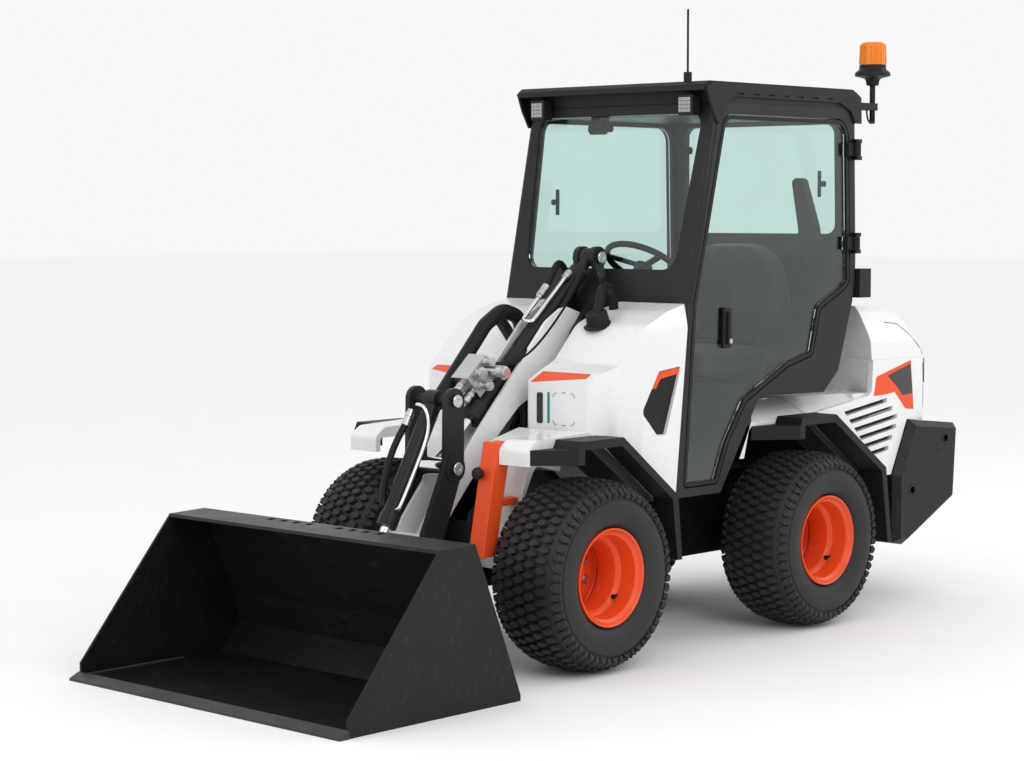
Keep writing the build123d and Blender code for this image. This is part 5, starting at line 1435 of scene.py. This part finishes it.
class LOADER_OT_body_fittings(LoaderOperator, bpy.types.Operator):
    """Make the filler cap with its hose, the lock post's knob and the counterweight's plugs"""

    bl_idname = "loader.body_fittings"
    bl_label = "Body fittings"

    # Sections as (along, radius) in metres, and places and routes in millimetres
    CAP = (
        (0, 0), (0, 0.053), (0.006, 0.055), (0.009, 0.05),
        (0.012, 0.042), (0.05, 0.039), (0.056, 0.034), (0.058, 0),
    )
    CAP_FOOT = (270, 228, 1154)
    CAP_WAY = (0.3, 0, 0.95)
    HOSE = (
        (282, 228, 1200), (262, 224, 1240), (250, 218, 1272), (222, 208, 1292),
        (176, 196, 1288), (140, 186, 1240), (132, 180, 1180),
    )
    HOSE_RADIUS = 0.018
    KNOB = (
        (0, 0), (0, 0.01), (0.012, 0.01), (0.014, 0.019),
        (0.022, 0.022), (0.032, 0.019), (0.036, 0.01), (0.037, 0),
    )
    KNOB_FOOT = (888, 243, 676)
    KNOB_WAY = (0.98, 0, 0.19)
    PLUG = ((0, 0), (0, 0.014), (0.0015, 0.017), (0.002, 0.021), (0.0006, 0.023), (0, 0.023))
    PLUGS = ((-1586, 641), (-1349, 448))
    PLUG_Y = 490

    def execute(self, context):
        cap = bmesh.new()
        add_lathe(cap, self.CAP, at(*self.CAP_FOOT), self.CAP_WAY, steps=40)
        settle(cap, "filler_cap", "front_frame", "black_plastic")
        mesh = tube_mesh("breather_hose", [at(*step) for step in self.HOSE], self.HOSE_RADIUS)
        place(mesh, "breather_hose", "front_frame", "black_plastic", "rubber")
        knob = bmesh.new()
        add_lathe(knob, self.KNOB, at(*self.KNOB_FOOT), self.KNOB_WAY, steps=32)
        settle(knob, "post_knob", "front_frame", "black_plastic")
        plugs = bmesh.new()
        for side in SIDES:
            for x, z in self.PLUGS:
                add_lathe(plugs, self.PLUG, at(x, side * self.PLUG_Y, z), (0, side, 0), steps=28)
        settle(plugs, "weight_plugs", "rear_frame", "black_plastic", "void")
        return {"FINISHED"}


class LOADER_OT_box_marks(LoaderOperator, bpy.types.Operator):
    """Make the sight gauge, the cover's marks and the gauge's scale on the left cowl's box"""

    bl_idname = "loader.box_marks"
    bl_label = "Box marks"

    # A place (x, y) on the box's front in millimetres, and the front's sweep
    FRONT = (553.2, 130)
    SWEEP = 0.1778
    FILM = Vector((0.0006, 0.0001, 0))
    # Outlines as (y, z) in millimetres
    GAUGE = ((184, 824), (200, 824), (204, 830), (204, 926), (200, 932), (184, 932), (180, 926), (180, 830))
    SCALE = ((222, 826), (232, 826), (232, 934), (222, 934))
    # The cover's rounded corners: columns are the middle (y, z) and the angle that each starts from
    CORNERS = ((316, 918, 0), (260, 918, 90), (260, 836, 180), (316, 836, 270))
    CORNER_RADII = (14, 16)
    CORNER_STEPS = 5
    # Short dashes above and below the cover
    DASHES = (
        ((280, 933), (296, 933), (296, 935), (280, 935)),
        ((280, 819), (296, 819), (296, 821), (280, 821)),
    )

    def add_film(self, shape, outline, layers=1):
        """Adds a film of an outline, in one or more layers, to the slanted front of the box."""
        x, y0 = self.FRONT
        back = [at(x - (y - y0) * self.SWEEP, y, z) for y, z in outline]
        add_prism(shape, back, [corner + layers * self.FILM for corner in back])

    def execute(self, context):
        gauge, marks, scale = bmesh.new(), bmesh.new(), bmesh.new()
        self.add_film(gauge, self.GAUGE, 3)
        settle(gauge, "sight_gauge", "front_frame", "black_plastic", "dark_trim_and_shade")
        inner, outer = self.CORNER_RADII
        for y, z, start in self.CORNERS:
            for step in range(self.CORNER_STEPS):
                angles = (start + 90 / self.CORNER_STEPS * (step + end) for end in (0, 1))
                first, last = (math.radians(angle) for angle in angles)
                ring = ((inner, first), (outer, first), (outer, last), (inner, last))
                self.add_film(marks, [(y + r * math.cos(turn), z + r * math.sin(turn)) for r, turn in ring])
        for dash in self.DASHES:
            self.add_film(marks, dash)
        settle(marks, "cover_marks", "front_frame", "black_plastic", "dark_trim_and_shade")
        self.add_film(scale, self.SCALE)
        settle(scale, "gauge_scale", "front_frame", "black_plastic", "gauge_scale")
        return {"FINISHED"}


class LOADER_OT_arch_shade_sheets(LoaderOperator, bpy.types.Operator):
    """Lay thin dark sheet as painted shade under the slants of the wheel arches, and on the sides beside them as
    the flares' dark rims, partly painted shade
    """

    bl_idname = "loader.arch_liners"
    bl_label = "Arch shade sheets"

    # Columns: sheet of painted shade, its body, low and high end of the arch's slant as (x, z), outer edge across
    SHADE_SHEETS = (
        ("front_arch_shade_sheets", "front_frame", (300, 555), (590, 765), 455),
        ("rear_arch_shade_sheets", "rear_frame", (-985, 566), (-690, 766), 430),
    )
    INNER_Y = 300
    # Columns: dark cover of the side between a flare and its arch, standing for the flare's dark rim and partly
    # painted shade, its body, the side's place, outline (x, z)
    CHEEKS = (
        ("front_arch_cheeks", "front_frame", 455, (
            (518.5, 764.5), (589, 764.5), (301, 556), (280, 545.5), (243, 545.5), (244.5, 558.5),
        )),
        ("rear_arch_cheeks", "rear_frame", 430, (
            (-725.5, 765.5), (-691, 765.5), (-985.5, 566), (-1039, 540.5), (-1043, 540.5), (-1041.5, 554.5),
        )),
    )
    # Both faces of a painted shade sheet below its slant, and of a cheek beside its side
    SHADE_SHEET_FACES = (0.3, 1.5)
    CHEEK_FACES = (0.1, 0.9)

    def execute(self, context):
        near, far = self.SHADE_SHEET_FACES
        for name, body, low, high, outer_y in self.SHADE_SHEETS:
            slant = (Vector(high) - Vector(low)).normalized()
            under = Vector((slant.y, -slant.x))
            ends = ((low, near), (high, near), (high, far), (low, far))
            corners = [Vector(end) + under * depth for end, depth in ends]
            shade_sheets = bmesh.new()
            for side in SIDES:
                side_plate(shade_sheets, corners, side * self.INNER_Y, side * outer_y)
            # Near-black sheet under the arch's slant, where there is only shade: painted shade
            settle(shade_sheets, name, body, "black_plastic", "dark_trim_and_shade")
        near, far = self.CHEEK_FACES
        for name, body, y, corners in self.CHEEKS:
            cheeks = bmesh.new()
            for side in SIDES:
                side_plate(cheeks, corners, side * (y + near), side * (y + far))
            # Dark sheet on the side beside the arch: the flare's dark rim, partly painted shade
            settle(cheeks, name, body, "black_plastic", "dark_trim_and_shade")
        return {"FINISHED"}


class LOADER_OT_stage(LoaderOperator, bpy.types.Operator):
    """Set the pale floor, the soft studio light and the camera"""

    bl_idname = "loader.stage"
    bl_label = "Stage"

    # Columns: name, place, target, size in metres, power in watts
    LIGHTS = (
        ("Key softbox", (3.0, 6.0, 5.6), (0.0, 0.0, 0.8), 4.0, 120.0),
        ("Front softbox", (7.5, -1.0, 4.2), (0.6, 0.0, 0.6), 3.5, 55.0),
        ("Rear softbox", (-5.5, 3.5, 4.5), (-0.6, 0.0, 1.0), 4.0, 70.0),
    )
    WORLD_LIGHT = 0.94
    FLOOR_REACH = 60.0
    SENSOR_WIDTH = 36
    CLIP_END = 200

    def execute(self, context):
        stage = context.scene.loader_stage
        floor = bpy.data.meshes.new("studio_floor")
        reach = self.FLOOR_REACH
        corners = [(-reach, -reach, 0), (reach, -reach, 0), (reach, reach, 0), (-reach, reach, 0)]
        floor.from_pydata(corners, [], [(0, 1, 2, 3)])
        floor.materials.append(surface("Studio floor", tuple(stage.floor), 0.75, 0.01, 60, 0.01))
        hold("studio_floor", floor)

        world = bpy.data.worlds.new("Studio")
        world.use_nodes = True
        sky = world.node_tree.nodes["Background"]
        sky.inputs["Color"].default_value = (1, 1, 1, 1)
        sky.inputs["Strength"].default_value = self.WORLD_LIGHT
        context.scene.world = world

        for name, where, target, size, power in self.LIGHTS:
            light = bpy.data.lights.new(name, "AREA")
            light.size = size
            light.energy = power
            lamp = hold(name, light)
            lamp.location = where
            lamp.rotation_euler = (Vector(target) - Vector(where)).to_track_quat("-Z", "Y").to_euler()

        camera = bpy.data.cameras.new("Photo camera")
        camera.lens = stage.lens
        camera.sensor_width = self.SENSOR_WIDTH
        camera.sensor_fit = "HORIZONTAL"
        camera.clip_end = self.CLIP_END
        eye = hold("Photo camera", camera)
        flat = math.cos(stage.elevation)
        back = Vector(
            (flat * math.cos(stage.azimuth), flat * math.sin(stage.azimuth), math.sin(stage.elevation))
        )
        eye.location = stage.place
        eye.rotation_euler = back.to_track_quat("Z", "Y").to_euler()
        context.scene.camera = eye
        context.scene.view_settings.view_transform = "Standard"
        return {"FINISHED"}


# In the order in which they are called
OPERATORS = (
    LOADER_OT_stage,
    LOADER_OT_finishes,
    LOADER_OT_edges,
    LOADER_OT_tyres,
    LOADER_OT_rims,
    LOADER_OT_seat,
    LOADER_OT_grilles,
    LOADER_OT_louvres,
    LOADER_OT_trim,
    LOADER_OT_lamps,
    LOADER_OT_door_fittings,
    LOADER_OT_cab_fittings,
    LOADER_OT_seams,
    LOADER_OT_pins,
    LOADER_OT_lines,
    LOADER_OT_bucket_welds,
    LOADER_OT_body_fittings,
    LOADER_OT_box_marks,
    LOADER_OT_arch_shade_sheets,
)


class LOADER_PT_panel(bpy.types.Panel):
    """Lists the loader's settings and builders"""

    bl_idname = "LOADER_PT_panel"
    bl_label = "Articulated Loader"
    bl_space_type = "VIEW_3D"
    bl_region_type = "UI"
    bl_category = "Loader"

    def draw(self, context):
        for name in SETTINGS:
            settings = getattr(context.scene, name)
            box = self.layout.box()
            for key in settings.bl_rna.properties.keys():
                if key not in ("rna_type", "name"):
                    box.prop(settings, key)
        for operator in OPERATORS:
            self.layout.operator(operator.bl_idname)


SETTINGS = {
    "loader_colours": LoaderColours,
    "loader_tread": LoaderTread,
    "loader_stage": LoaderStage,
}
CLASSES = (*SETTINGS.values(), *OPERATORS, LOADER_PT_panel)


def register():
    """Adds the classes, and the settings to the scene."""
    for cls in CLASSES:
        bpy.utils.register_class(cls)
    for name, group in SETTINGS.items():
        setattr(bpy.types.Scene, name, bpy.props.PointerProperty(type=group))


def unregister():
    """Takes the settings and the classes away again."""
    for name in SETTINGS:
        delattr(bpy.types.Scene, name)
    for cls in reversed(CLASSES):
        bpy.utils.unregister_class(cls)


def main():
    """Builds the whole loader."""
    register()
    for operator in OPERATORS:
        group, name = operator.bl_idname.split(".")
        getattr(getattr(bpy.ops, group), name)()


if __name__ == "__main__":
    main()
